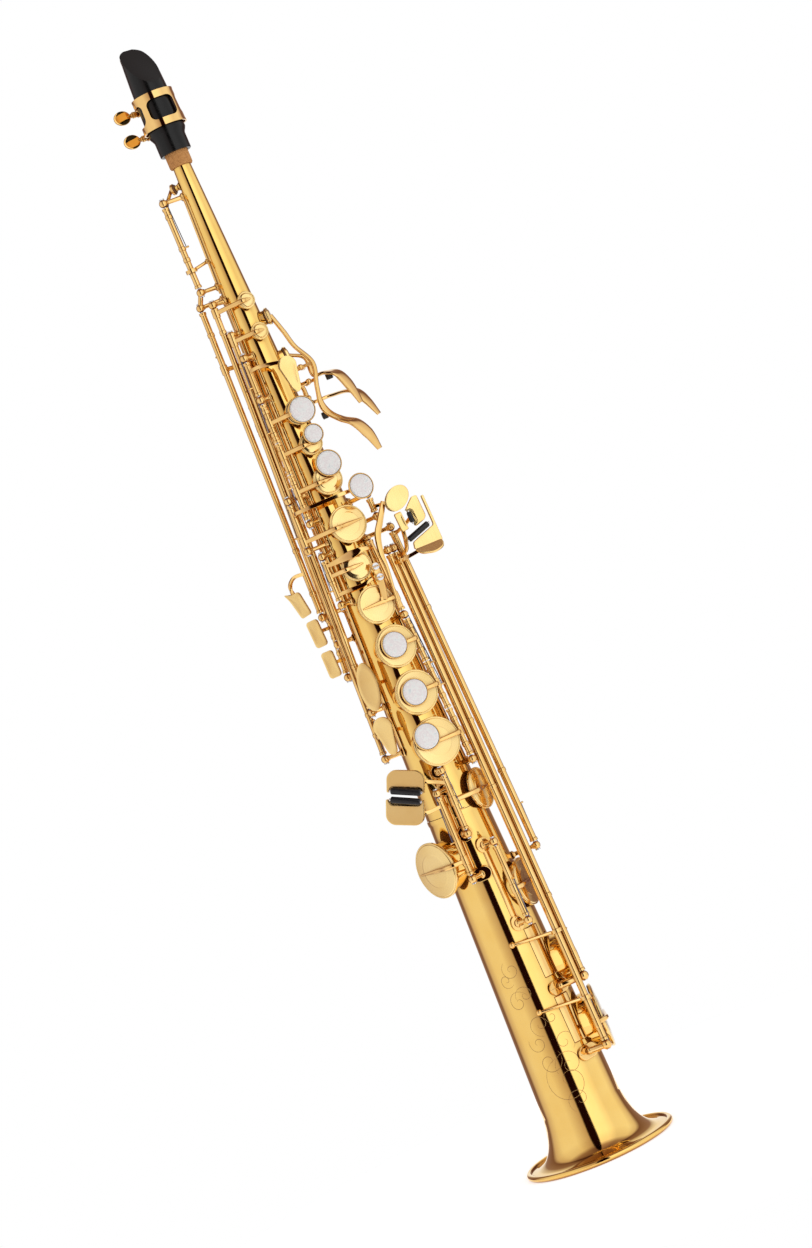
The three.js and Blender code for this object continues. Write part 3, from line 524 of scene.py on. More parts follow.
LOOKS = {
    "tube": lacquer("lacquered_tube", (0.97, 0.66, 0.20), (0.93, 0.60, 0.16), 0.03, 0.07),
    # the keys' tone varies at random, and runs darker and redder than the tube's as painted shade among the
    # keywork
    "keys": lacquer("lacquered_keys", (0.97, 0.65, 0.25), (0.86, 0.53, 0.17), 0.03, 0.08),
    "cups": lacquer("lacquered_cups", (0.97, 0.73, 0.32), (0.93, 0.67, 0.26), 0.1, 0.2),
    "plates": lacquer(
        "lacquered_plates", (0.97, 0.71, 0.29), (0.92, 0.63, 0.23), 0.14, 0.26, (1, 1, 0.06), 0.12
    ),
    "engraving": lacquer("engraved_lines", (0.50, 0.31, 0.12), (0.36, 0.21, 0.08), 0.3, 0.5),
    "nacre": nacre(),
    "ebonite": dark_gloss("ebonite", (0.003, 0.003, 0.003), 0.14, 0.26, 0.05),
    "roller": dark_gloss("roller_black", (0.012, 0.012, 0.013), 0.08, 0.16, 0.03),
    "cane": cane(),
    "cork": cork(),
    "leather": leather("pad_leather", (0.16, 0.075, 0.035)),
    "felt": leather("black_felt", (0.02, 0.019, 0.018)),
    "steel": metal("bright_steel", (0.82, 0.82, 0.83), 0.12, 0.25),
    "spring": metal("blued_steel", (0.16, 0.18, 0.26), 0.15, 0.3),
}
SLOTS = {look: "lacquered_brass" for look in ("tube", "keys", "cups", "plates", "engraving")}
SLOTS |= {"felt": "leather", "spring": "steel"}
SHARP = math.radians(38)


# ---- pieces ----
def mesh_object(name, solids):
    """An object in metres, in the row frame, made of solids in millimetres about the bore."""
    points, faces = joined(flat_list(solids))
    mesh = bpy.data.meshes.new(name)
    mesh.from_pydata([AXIS + point * MM for point in points], [], faces)
    editor = bmesh.new()
    editor.from_mesh(mesh)
    bmesh.ops.recalc_face_normals(editor, faces=editor.faces)
    editor.to_mesh(mesh)
    editor.free()
    made = bpy.data.objects.new(name, mesh)
    bpy.context.scene.collection.objects.link(made)
    return made


def settle(made, look, body, stands_for):
    """Smooth shading, its material, and the body that it rides on."""
    mesh = made.data
    mesh.shade_smooth()
    mesh.set_sharp_from_angle(angle=SHARP)
    mesh.materials.clear()
    mesh.materials.append(LOOKS[look])
    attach(made, body)
    if stands_for:
        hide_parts(*stands_for)
    return made


def piece(name, solids, look="keys", body="body", stands_for=()):
    return settle(mesh_object(name, solids), look, body, stands_for)


def combined(made, solids, operation):
    """A boolean of an object with each solid in turn, applied."""
    for solid in flat_list(solids):
        tool = mesh_object("tool", [solid])
        step = made.modifiers.new("step", "BOOLEAN")
        step.operation = operation
        step.solver = "MANIFOLD"
        step.object = tool
        bpy.context.view_layer.update()
        result = bpy.data.meshes.new_from_object(made.evaluated_get(bpy.context.evaluated_depsgraph_get()))
        made.modifiers.clear()
        old = made.data
        made.data = result
        bpy.data.meshes.remove(old)
        bpy.data.objects.remove(tool)


# ---- tone holes: angle, height, cup radius, chimney height ----
HOLES = {
    "low_b_flat": (97, 72, 19.5, 3),
    "low_b": (97, 112, 18, 3),
    "low_c_sharp": (65, 162, 14.5, 1.6),
    "low_c": (-62, 188, 17, 3),
    "low_e_flat": (60, 222, 12.5, 1.1),
    "low_d": (11, 257, 14.4, 3),
    "low_e": (12, 287.5, 13.2, 3),
    "low_f": (11, 316.5, 12.6, 3),
    "f_sharp": (9, 343, 11.4, 3),
    "g_sharp": (8, 368, 9, 3),
    "g": (26, 392, 11.2, 3),
    "a": (24, 420, 8.8, 3),
    "bis": (23, 443.2, 6.9, 2.5),
    "b": (27, 463, 8, 2.5),
    "side_b_flat": (-150, 437, 6.4, 1.5),
    "side_c": (-140, 465, 6, 1.5),
    "high_e": (-140, 503, 5.6, 1.5),
    "high_f_sharp": (20, 515, 5.2, 1.5),
    "high_g": (20, 534.5, 5.2, 1.5),
    "palm_f": (82, 522, 5.2, 1.5),
    "palm_e_flat": (100, 497, 5.6, 1.5),
    "palm_d": (140, 486, 6, 1.5),
}
PIPS = {"body_octave": (178, 548, 3.2, 3), "neck_octave": (-110, 612, 3.4, 3)}


class Hole:
    def __init__(self, angle, z, cup, rise):
        self.angle, self.z, self.cup, self.rise = angle, z, cup, rise
        self.seat = tube_radius(z) + rise
        self.top = self.seat + SEAT_GAP + PAD + CUP

    def frame(self, lift=0.0):
        """z runs outward from the closed pad's face."""
        return facing(self.angle, self.seat + SEAT_GAP + lift, self.z)

    def over(self, side, height, z=None):
        """A point over the cup: `side` sideways and `height` above its top."""
        return outward(self.angle) * (self.top + height) + sideways(self.angle) * side + UP * (z or self.z)

    def pearl_frame(self, side, z, height=2.3):
        matrix = facing(self.angle, 0, z)
        matrix.translation = self.over(side, height, z)
        return matrix


holes = {name: Hole(*row) for name, row in HOLES.items()}
pips = {name: Hole(*row) for name, row in PIPS.items()}


# ---- hinges, from the frame's joints ----
class Hinge:
    def __init__(self, joint):
        self.at = (Vector(joint["pos_m"]) - AXIS) / MM
        self.axis = Vector(joint["axis"]).normalized()
        ends = joint.get("range_deg") or [0, 0]
        self.end = max(ends, key=abs)

    def point(self, z):
        """The place on an upright hinge's line at a height."""
        return self.at + self.axis * ((z - self.at.z) / self.axis.z)

    def along(self, distance):
        return self.at + self.axis * distance

    def opened(self, solids):
        """Solids of an open-standing key, from the closed place they are drawn in to their rest place."""
        turn = Matrix.Rotation(math.radians(-self.end / RANGE_SHARE), 4, self.axis)
        matrix = Matrix.Translation(self.at) @ turn @ Matrix.Translation(-self.at)
        return [moved(solid, matrix) for solid in flat_list([solids])]


hinges = {joint["child"]: Hinge(joint) for joint in frame["joints"] if joint["type"] == "hinge"}


def sleeve(hinge, low, high, collars=(), radius=SLEEVE):
    """A hinge tube: hollow for its rod, with a collar at each end and at each height given."""
    start, end = hinge.point(low), hinge.point(high)
    matrix, length = frame_at(start, end - start), (end - start).length
    bore, collar = 0.95, radius + 0.35
    profile = [(bore, 0), (collar, 0), (collar, 1.4), (radius, 1.8)]
    for z in sorted(collars):
        middle = (hinge.point(z) - start).length
        profile += [
            (radius, middle - 1.3), (collar, middle - 1), (collar, middle + 1), (radius, middle + 1.3)
        ]
    profile += [(radius, length - 1.8), (collar, length - 1.4), (collar, length), (bore, length), (bore, 0)]
    return turned(profile, matrix, 20)


def cup_solid(hole):
    radius = hole.cup
    wall, shoulder = 0.6, PAD + 0.7
    step = 0.58 if radius > 5 else 0.4
    profile = [
        (0, PAD), (radius - wall, PAD), (radius - wall, PAD / 2), (radius, PAD / 2),
        (radius, shoulder - 0.15),
        (radius - 0.5, shoulder + 0.1), (radius - 0.9, shoulder - 0.2), (radius - 1.3, shoulder + 0.35),
        (radius * step + 0.5, PAD + CUP - 0.15), (radius * step, PAD + CUP), (0, PAD + CUP),
    ]
    return turned(rounded(profile, 0.25), hole.frame(), 64 if radius > 9 else 40)


def pad_solid(hole):
    radius = hole.cup - 0.7
    profile = [(0, 0.1), (radius * 0.8, 0.1), (radius * 0.84, 0.22), (radius * 0.88, 0.1), (radius, 0.1)]
    return turned(rounded(profile + [(radius, PAD - 0.05), (0, PAD - 0.05)], 0.35), hole.frame(), 64)


def resonator(hole):
    radius = hole.cup * 0.34
    profile = [(0, -0.15), (radius * 0.6, -0.1), (radius, 0.15), (radius, 0.4), (0, 0.4)]
    return turned(rounded(profile, 0.2), hole.frame(), 32)


def fin(hole, hinge, reach=0.45):
    """An arm that rises from the hinge and lies across the cup's top to a point."""
    z, size = hole.z, 2.8
    root = hinge.point(z)
    across = math.copysign(1, (root - hole.over(0, 0, z)).dot(sideways(hole.angle)))
    edge = hole.over(across * hole.cup * 0.92, 0.9, z)
    middle = hole.over(across * hole.cup * 0.3, 0.6, z)
    tip = hole.over(-across * hole.cup * reach, 0.3, z)
    hub = disc(SLEEVE + 0.45, 0, 2 * size, frame_at(hinge.point(z - size), hinge.axis), 20, 0.4)
    path = smooth_path([root, edge, middle, tip], 8)
    sections = [(size, 2.2), (size, 2.4), (size * 0.9, 2.6), (size * 0.8, 2.2), (0.7, 0.8)]
    return [sweep(path, sections, UP, 16, 3), hub]


# ---- the tube and the bell ----
def curve(points, steps=6):
    return [(p.x, p.y) for p in smooth_path([Vector((x, y, 0)) for x, y in points], steps)]


def chimneys(made, openings, bore):
    """Tone holes' chimneys joined on, then the bore and the holes cut."""
    outer, ways = [], []
    for hole in openings:
        radius, depth = hole.cup * SEAT, tube_radius(hole.z) * 0.75
        place = facing(hole.angle, hole.seat, hole.z)
        profile = [(0, -depth), (radius, -depth), (radius, -0.25), (radius - 0.25, 0), (0, 0)]
        outer.append(turned(profile, place, 64))
        ways.append(disc(radius - WALL, -depth - 1, 2, place, 64, 0))
    combined(made, outer, "UNION")
    combined(made, bore, "DIFFERENCE")
    combined(made, ways, "DIFFERENCE")


def bore_solid(low, high):
    ends = [(tube_radius(low) - WALL, low), (tube_radius(high) - WALL, high)]
    return turned([(0, low), *ends, (0, high)], sides=96)


def make_tube():
    low = BELL_TOP + 0.3
    top = (tube_radius(TUBE_TOP), TUBE_TOP)
    outside = [(0, low), (tube_radius(low), low), (NECK_RADIUS, NECK_START), top, (0, TUBE_TOP)]
    made = mesh_object("body_tube_skin", [turned(outside, sides=96)])
    upper = [hole for hole in holes.values() if hole.z - hole.cup > BELL_TOP]
    chimneys(made, upper, [bore_solid(low - 1, NECK_START), bore_solid(NECK_START, TUBE_TOP + 1)])
    places = [facing(pip.angle, pip.seat, pip.z) for pip in pips.values()]
    stem = rounded([(0, -3.4), (3, -3.4), (1.8, -1.6), (1.8, 0), (0, 0)])
    combined(made, [turned(stem, place, 24) for place in places], "UNION")
    combined(made, [disc(0.8, -6, 1, place, 16, 0) for place in places], "DIFFERENCE")
    settle(made, "tube", "body", ["body_tube"])


def make_bell():
    bead = 1.9
    top, inside = tube_radius(BELL_TOP), tube_radius(BELL_TOP) - WALL
    ring = [
        (inside, BELL_TOP), (top + 0.35, BELL_TOP), (top + 0.45, BELL_TOP - 1.5),
        (top + 0.35, BELL_TOP - 3), (tube_radius(BELL_TOP - 3.4), BELL_TOP - 3.4),
    ]
    flare = [(tube_radius(THROAT), THROAT), (25.7, 20), (28.3, 12), (32.5, 6), (38, 3.2), (43.2, 2.5)]
    rim = arc(RIM_RADIUS - bead, bead, bead, 120, -170, 18)
    throat = (tube_radius(THROAT) - WALL, THROAT)
    inner = [(42, 1.5), (36, 2.1), (31, 4.8), (27.4, 11), (24.8, 20), throat]
    profile = ring + curve(flare, 8) + rim + curve(inner, 8)
    made = mesh_object("bell_skin", [turned(profile + [profile[0]], sides=128)])
    lower = [hole for hole in holes.values() if hole.z + hole.cup < BELL_TOP]
    chimneys(made, lower, [bore_solid(50, BELL_TOP + 1)])
    settle(made, "tube", "body", ["bell"])


def scroll(angle, z, size, start, turns, hand=1):
    """A spiral line on the bell: it starts `size` from its middle and winds inwards."""
    steps = round(abs(turns) * 28)
    path = []
    for i in range(steps + 1):
        share = i / steps
        turn = math.radians(start) + hand * 2 * math.pi * turns * share
        radius = size * (1 - share * 0.86)
        height = z + radius * math.sin(turn)
        around = math.degrees(radius * math.cos(turn) / tube_radius(height))
        path.append(polar(angle + around, tube_radius(height) + 0.02, height))
    return sweep(path, [(0.12, 0.1), (0.3, 0.14), (0.3, 0.14), (0.1, 0.1)], UP, 6, 2)


def engrave_bell():
    """Leaf-like scrolls cut into the front of the bell."""
    rows = [
        (-2, 48, 15, 100, 1.3, 1), (8, 57, 9, 200, 1.4, -1), (14, 70, 7, -60, 1.3, 1),
        (-18, 62, 8, 30, 1.2, -1), (-24, 74, 6, 150, 1.2, 1), (-10, 84, 7, -90, 1.3, -1),
        (10, 86, 5, 60, 1.2, 1), (-28, 100, 7, 20, 1.3, 1), (-14, 103, 6, 190, 1.2, -1),
        (-34, 114, 5, -40, 1.2, -1), (-20, 119, 6, 120, 1.3, 1), (2, 36, 8, 240, 1.1, -1),
    ]
    piece("bell_engraving", [scroll(*row) for row in rows], "engraving")


def make_cork():
    low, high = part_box("neck_cork")[0].z / MM, TUBE_TOP - 3
    inner = tube_radius(low) + 0.1
    profile = [
        (inner, low), (6.6, low + 0.1), (7.05, low + 0.9), (7.1, high - 1), (6.7, high), (inner, high),
        (inner, low),
    ]
    piece("neck_cork_wrap", [turned(profile, sides=48)], "cork", "body", ["neck_cork"])


# ---- posts on soldered ribs ----
def rib(angle, low, high, half_width):
    """A strap that follows the tube, with a rounded top."""
    columns, points = 7, []
    rows = [(low, 0.35), (low + 0.5, 0.95), (high - 0.5, 0.95), (high, 0.35)]
    for z, height in rows:
        radius = tube_radius(z)
        for i in range(columns):
            share = 2 * i / (columns - 1) - 1
            edge = height * (1 - abs(share) ** 8 * 0.6)
            points.append(polar(angle + math.degrees(share * half_width / radius), radius + edge, z))
        for share in (1, -1):
            points.append(polar(angle + math.degrees(share * half_width / radius), radius - 0.3, z))
    return skin(points, columns + 2)


def post(hinge, z, angle, size=BALL):
    """A turned post: a foot, a waisted stem and a ball on the hinge's line."""
    top = hinge.point(z)
    foot = polar(angle, tube_radius(z) + 0.6, z)
    length = (top - foot).length
    profile = [
        (0, 0), (2.5, 0), (2.5, 0.6), (1.8, 1), (1.4, 1.8), (1.25, length - 2.8), (1.75, length - 2.2),
        (0, length - 1),
    ]
    return [turned(rounded(profile, 0.25), frame_at(foot, top - foot), 20), ball(top, size, 24)]


def saddle(angle, z, width, height, thickness=1.2):
    """A stadium-shaped base, soldered to the tube."""
    corner = min(width, height) / 2 - 0.01
    matrix = facing(angle, tube_radius(z) - 0.5, z)
    return plate(rounded_box(width, height, corner), thickness + 0.5, matrix, 0.3)


def bell_post(hinge, z, angle):
    """A stout post that lies along its stadium-shaped base and reaches out to a ball."""
    top = hinge.point(z)
    foot = polar(angle, tube_radius(z) + 2.2, z)
    return [
        saddle(angle, z, 15, 8.4, 1.1),
        rod(foot, top, 1.9, 28, 0.6),
        ball(foot, 2.1, 20),
        ball(top, BALL + 0.5, 24),
    ]


def stay(hinge, z, angle):
    """A thin stay from the tube's front to a ring round a long hinge tube."""
    foot, top = polar(angle, tube_radius(z) + 0.4, z + 2.5), hinge.point(z)
    ring, inner = LONG_SLEEVE + 1.3, LONG_SLEEVE + 0.25
    matrix = frame_at(top - UP * 1.1, hinge.axis)
    eye = [(inner, 0), (ring, 0), (ring, 2.2), (inner, 2.2), (inner, 0)]
    end = top + (foot - top).normalized() * (ring - 0.2)
    return [rod(foot, end, 1, 16), ball(foot, 1.7, 20), turned(eye, matrix, 32)]


def slotted_screw(point, axis):
    """A pivot screw's head in a post's ball: two half discs with the slot between them."""
    radius = 1.3
    matrix = frame_at(point + axis * (BALL - 0.35), axis)
    half = [(x, y + 0.22) for x, y in arc(0, 0, radius, 8, 172, 12)]
    other = [(-x, -y) for x, y in half]
    heads = [plate(shape, 0.75, matrix, 0.08) for shape in (half, other)]
    return [disc(radius, -0.4, 0.35, matrix, 20, 0.05)] + heads


def posts_on(hinge, heights, angle):
    return [post(hinge, z, angle) for z in heights]


# The heights of the posts at the two ends of each hinge line.
SPANS = {
    "low_b_flat": (58.5, 369.5),
    "low_b": (99.5, 369.5),
    "low_c_sharp_lever": (178, 381.5),
    "low_c_sharp_cup": (142.5, 191.5),
    "low_e_flat": (201.5, 240.5),
    "low_c": (176.5, 229.5),
    "low_d": (239.5, RIGHT_TOP),
    "a": (400.5, 503.5),
    "g": (386.5, 417.5),
    "g_sharp_cup": (350.5, 380.5),
    "g_sharp_lever": (390, 404),
    "high_g": (258.5, 539.5),
    "high_f_sharp": (286.5, 519),
    "side_e": (348.5, 541.5),
    "side_c": (330.5, 477.5),
    "side_b_flat": (310.5, 446.5),
    "neck_octave": (549.5, 605.5),
}


def pair(name, angle):
    """The two posts that a key's hinge line ends in."""
    return posts_on(hinges[name], SPANS[name], angle)


def tie(low_angle, high_angle, z):
    """A strap round the tube between two ribs."""
    steps = 6
    radius = tube_radius(z) + 1.2
    path = [polar(low_angle + (high_angle - low_angle) * i / steps, radius, z) for i in range(steps + 1)]
    return sweep(path, [(3, 0.9)] * 2, UP)


def bell_key_posts(low_b_flat, low_b, lever):
    """The posts of the low B-flat, B and C-sharp keys, as lists of solids by CAD node."""
    return {
        "low_b_posts": [
            rib(40, 66, 95, 5), rib(40, 107, 138, 5),
            bell_post(low_b_flat, 58.5, 42), bell_post(low_b, 99.5, 42),
            stay(low_b_flat, 88, -4), stay(low_b_flat, 129.5, -2),
        ],
        "table_posts": [
            rib(97, 366, 407, 3), post(low_b_flat, 369.5, 90), post(low_b, 369.5, 95),
            post(lever, 381.5, 100), pair("g_sharp_lever", 92),
        ],
        "c_sharp_lever_post": [rib(92, 175.5, 180.5, 1.8), post(lever, 178, 92)],
        "c_sharp_cup_posts": [
            rib(20, 146, 188, 1.8), pair("low_c_sharp_cup", 20),
            saddle(20, 142.5, 8, 9), saddle(20, 191.5, 9, 9),
        ],
    }


def body_key_posts(right, left, side_e, neck):
    """The posts of the stacks and of the keys beside them, as lists of solids by CAD node."""
    return {
        "little_finger_posts": [
            rib(-14, 180, 243, 1.6), pair("low_e_flat", -2), pair("low_c", -2),
            saddle(-2, 176.5, 12, 8), saddle(-2, 201.5, 9, 9),
            saddle(-2, 229.5, 9, 7), saddle(-2, 240.5, 9, 8),
        ],
        "right_stack_posts": [
            rib(70, 237, 384, 1.8), posts_on(right, [239.5, 331.5], 70),
            post(right, RIGHT_TOP, 70, SMALL_BALL),
        ],
        "left_stack_posts": [
            rib(-36, 348, 506, 1.8), posts_on(left, [400.5, 477.5, 503.5], -36),
            pair("g_sharp_cup", -36), pair("g", -36),
        ],
        "left_side_posts": [
            rib(-62, 256, 542, 1.8), pair("high_g", -62), pair("high_f_sharp", -62),
            rib(-94, 308, 544, 1.8), pair("side_e", -94), pair("side_c", -94), pair("side_b_flat", -94),
            tie(-62, -94, 360), tie(-62, -94, 490),
            rib(-94, 545, 608, 1.4), pair("neck_octave", -94), stay(neck, 563, -94),
            rod(neck.point(549.5), side_e.point(541.5), 1.5, 20),
        ],
    }


def make_posts():
    groups = bell_key_posts(*(hinges[name] for name in ("low_b_flat", "low_b", "low_c_sharp_lever")))
    groups |= body_key_posts(*(hinges[name] for name in ("low_d", "a", "side_e", "neck_octave")))
    for node, solids in groups.items():
        piece(node + "_turned", solids, "keys", "body", [node])
    screws, rods = [], []
    for name, (low, high) in SPANS.items():
        hinge = hinges[name]
        screws += slotted_screw(hinge.point(low), -hinge.axis)
        # The small top post of the right-hand stack takes no screw.
        if name != "low_d":
            screws += slotted_screw(hinge.point(high), hinge.axis)
        rods.append(rod(hinge.point(low), hinge.point(high), PIN, 12, 0))
    piece("pivot_screws", screws, "steel")
    piece("pivot_rods", rods, "steel")


# ---- keys ----
def pearl_holder(radius, matrix):
    profile = [
        (0, -1.1), (radius + 0.8, -1.1), (radius + 0.9, 0.1), (radius + 0.55, 0.6), (radius + 0.25, 0.45),
        (radius + 0.15, -0.25), (0, -0.25),
    ]
    return turned(rounded(profile, 0.2), matrix, 48)


def pearl(radius, matrix):
    profile = [(0, -0.2), (radius, -0.2)] + curve(
        [(radius, 0.35), (radius * 0.85, 0.75), (radius * 0.5, 1.05), (0, 1.2)], 5
    )
    return turned(profile[:-1] + [(0, 1.2)], matrix, 48)


def forged(name, solids):
    """The brass part of a key, in place of its CAD node."""
    piece(name + "_key_forged", solids, "keys", name, [name + "_key"])


def cup_and_pad(name, hole, is_open):
    hinge = hinges[name]
    rows = [("cup", cup_solid(hole), "cups"), ("pad", pad_solid(hole), "leather")]
    if hole.cup >= 6:
        rows.append(("resonator", resonator(hole), "keys"))
    for part, solid, look in rows:
        piece(f"{name}_{part}", hinge.opened(solid) if is_open else [solid], look, name)


def stack_key(name, low, high, touch=None, extras=(), collars=(), radius=SLEEVE):
    """A key whose cup a finger closes. `extras` are given where they lie at rest."""
    hinge, hole = hinges[name], holes[name]
    drawn = [sleeve(hinge, low, high, collars, radius), fin(hole, hinge, 0.4 if touch else 0.8)]
    if touch:
        side, z, pearl_radius = touch
        matrix = hole.pearl_frame(side, z)
        drawn += [pearl_holder(pearl_radius, matrix), disc(2, -2.2, -1, matrix, 20)]
        dome = pearl(pearl_radius, matrix)
        piece(name + "_pearl_dome", hinge.opened(dome), "nacre", name, [name + "_pearl"])
    forged(name, hinge.opened(drawn) + list(extras))
    cup_and_pad(name, hole, True)


def lever_key(name, low, high, hole=None, extras=(), collars=(), radius=SLEEVE):
    """A key that rests closed: a finger plate at one place lifts the cup at another."""
    hinge = hinges[name]
    arms = fin(hole, hinge) if hole else []
    forged(name, [sleeve(hinge, low, high, collars, radius), arms, list(extras)])
    if hole:
        cup_and_pad(name, hole, False)


def touch_arm(hinge, from_z, via, place):
    """An arm from a hinge tube to just short of a finger plate's middle."""
    middle = Vector(place)
    points = [hinge.point(from_z)] + vectors(via)
    end = middle + (points[-1] - middle).normalized() * 1.5
    return arm(points + [end], 2.3, 1.9)


def touch_plate(name, body, outline, place, angle, tilt=0, dome=-0.25):
    matrix = facing(angle, 0, 0) @ Matrix.Rotation(math.radians(tilt), 4, "Z")
    matrix.translation = Vector(place)
    return piece(name, [plate(outline, 1.5, matrix, 0.4, dome)], "plates", body)


def facing_at(hole, side, height, z):
    """The frame of something that stands `height` above a cup's top."""
    matrix = facing(hole.angle, 0, 0)
    matrix.translation = hole.over(side, height, z)
    return matrix


def adjusting_screw(matrix):
    """A round screw head with a slot, its underside on the local xy plane."""
    start = math.degrees(math.asin(SCREW_SLOT / SCREW_HEAD))
    half = arc(0, 0, SCREW_HEAD, start, 180 - start, 14)
    other = [(-x, -y) for x, y in half]
    heads = [plate(shape, 1.1, matrix, 0.15) for shape in (half, other)]
    return [disc(SCREW_HEAD, -1.5, 0.35, matrix, 28, 0.1)] + heads


def felt(point, direction):
    """A round bumper of black felt."""
    return disc(2.1, 0, 3.2, frame_at(point, direction), 20, 0.3)


def right_hand_stack():
    stack_key("low_d", 242.3, 271.5, (-6, 262, 7.3), (), (249, 265))
    stack_key("low_e", 272, 301.5, (-2.5, 288, 7.4), (), (280, 296))
    stack_key("low_f", 302, 328.7, (-2, 317.5, 7.3), (), (309, 324))
    hole, hinge = holes["f_sharp"], hinges["f_sharp"]
    heights = (356.6, 363.2)
    spine = [hole.over(*row) for row in ((5, 1.2, 344), (6, 2.6, 350), (6.6, 3.4, 357), (6.2, 3.4, 365))]
    bridge = [arm(spine, 4, 2), rod(hole.over(5, 0, 344), hole.over(5, 1.6, 344), 2.4, 20)]
    bridge += [disc(2.5, 0, 2, facing_at(hole, 6.4, 2.6, z), 24, 0.3) for z in heights]
    stack_key("f_sharp", 334.4, 378.7, None, hinge.opened(bridge), (344, 366))
    screws = [adjusting_screw(facing_at(hole, 6.4, 4.2, z)) for z in heights]
    piece("f_sharp_adjusting_screws", hinge.opened(screws), "steel", "f_sharp")


def left_hand_stack():
    g = hinges["g"]
    matrix = facing(22, 0, 0)
    matrix.translation = Vector((23, -26, 409))
    under = vectors([(-14, -25, 409), (11, -25.5, 409), (16, -22.4, 409), (22.3, -24.5, 409)])
    reach = arm([g.point(409)] + under, 2.4, 1.7)
    stack_key("g", 389.4, 414.6, None, [reach, pearl_holder(6.8, matrix)])
    piece("g_pearl_dome", [pearl(6.8, matrix)], "nacre", "g", ["g_pearl"])
    stack_key("a", 403.4, 431, (3.4, 428.6, 7), (), (411, 426))
    stack_key("bis", 431.5, 450.5, (2.6, 447.6, 5.2))
    stack_key("b", 451, 474.5, (1, 463, 7.3), (), (456, 470))
    front, place = hinges["front_f"], (11, -22.6, 484)
    lever_key("front_f", 480.4, 500.6, None, touch_arm(front, 495, [(-4, -21, 495), (9, -22.4, 492)], place))
    touch_plate("front_f_touch", "front_f", teardrop(11, 22), place, 10)


def g_sharp_keys():
    cup_hinge = hinges["g_sharp_cup"]
    tab = vectors([(-8, -19.6, 356.6), (2, -20.4, 356.4), (8, -20, 358)])
    bar = vectors([(-6, -20.5, 374.6), (2, -22.6, 375), (9.5, -22.8, 375.4), (15, -20.6, 374)])
    bar_sections = [(2.4, 2), (3.4, 2.2), (5, 2), (3, 2), (1.6, 1.2)]
    arms = [
        arm([cup_hinge.point(356.5)] + tab, 2.4, 1.2),
        sweep(smooth_path([cup_hinge.point(374.4)] + bar, 8), bar_sections, UP, 16, 3),
    ]
    lever_key("g_sharp_cup", 353.4, 377.6, holes["g_sharp"], arms, (364,))
    blade = vectors([
        (31, -15.4, 396), (28.6, -17.5, 392), (24.5, -20.5, 385.6), (20.5, -23.4, 378.9),
        (18.3, -24.6, 368.6), (18.3, -23.4, 360.6), (17, -21, 348), (15.9, -19.6, 336),
    ])
    widths = [(3, 2), (3.4, 1.8), (3.8, 1.8), (4, 1.8), (3.4, 1.7), (2.2, 1.7), (1.8, 1.6), (1.6, 1.4)]
    blade = sweep(smooth_path(blade, 8), widths, sideways(20), 16, 3)
    place = (38.9, -17.5, 394.8)
    reach = touch_arm(hinges["g_sharp_lever"], 396, [(31, -16, 395)], place)
    lever_key("g_sharp_lever", 392.9, 401, None, reach + [blade])
    touch_plate("g_sharp_touch", "g_sharp_lever", oval(17, 12.5), place, 10, 32)


def roller(name, body, start, end, radius):
    start, end = Vector(start), Vector(end)
    length = (end - start).length
    profile = [
        (0, 0), (radius * 0.7, 0), (radius, 0.5), (radius, length - 0.5), (radius * 0.7, length),
        (0, length),
    ]
    solids = [turned(rounded(profile, 0.4), frame_at(start, end - start), 28)]
    piece(name + "_turned", solids, "roller", name, [name])
    axis = (end - start).normalized()
    pin = rod(start - axis * 0.9, end + axis * 0.9, radius * 0.42, 12)
    piece(name + "_pin", [pin], "steel", body)


def beside_roller(width, far, near, lug, gap, shift=0):
    """A plate with a lug at each end of its roller. Heights are from its middle; `far` is the far edge."""
    half, outer = gap / 2, width / 2
    hand = math.copysign(1, far)
    return rounded_outline([
        (shift - outer, lug), (shift - half, lug), (shift - half + 0.5, near), (shift + half - 0.5, near),
        (shift + half, lug), (shift + outer, lug), (shift + outer, far - 3.4 * hand),
        (shift + outer - 3.6, far), (shift - outer + 3.6, far), (shift - outer, far - 3.4 * hand),
    ], 3.2)


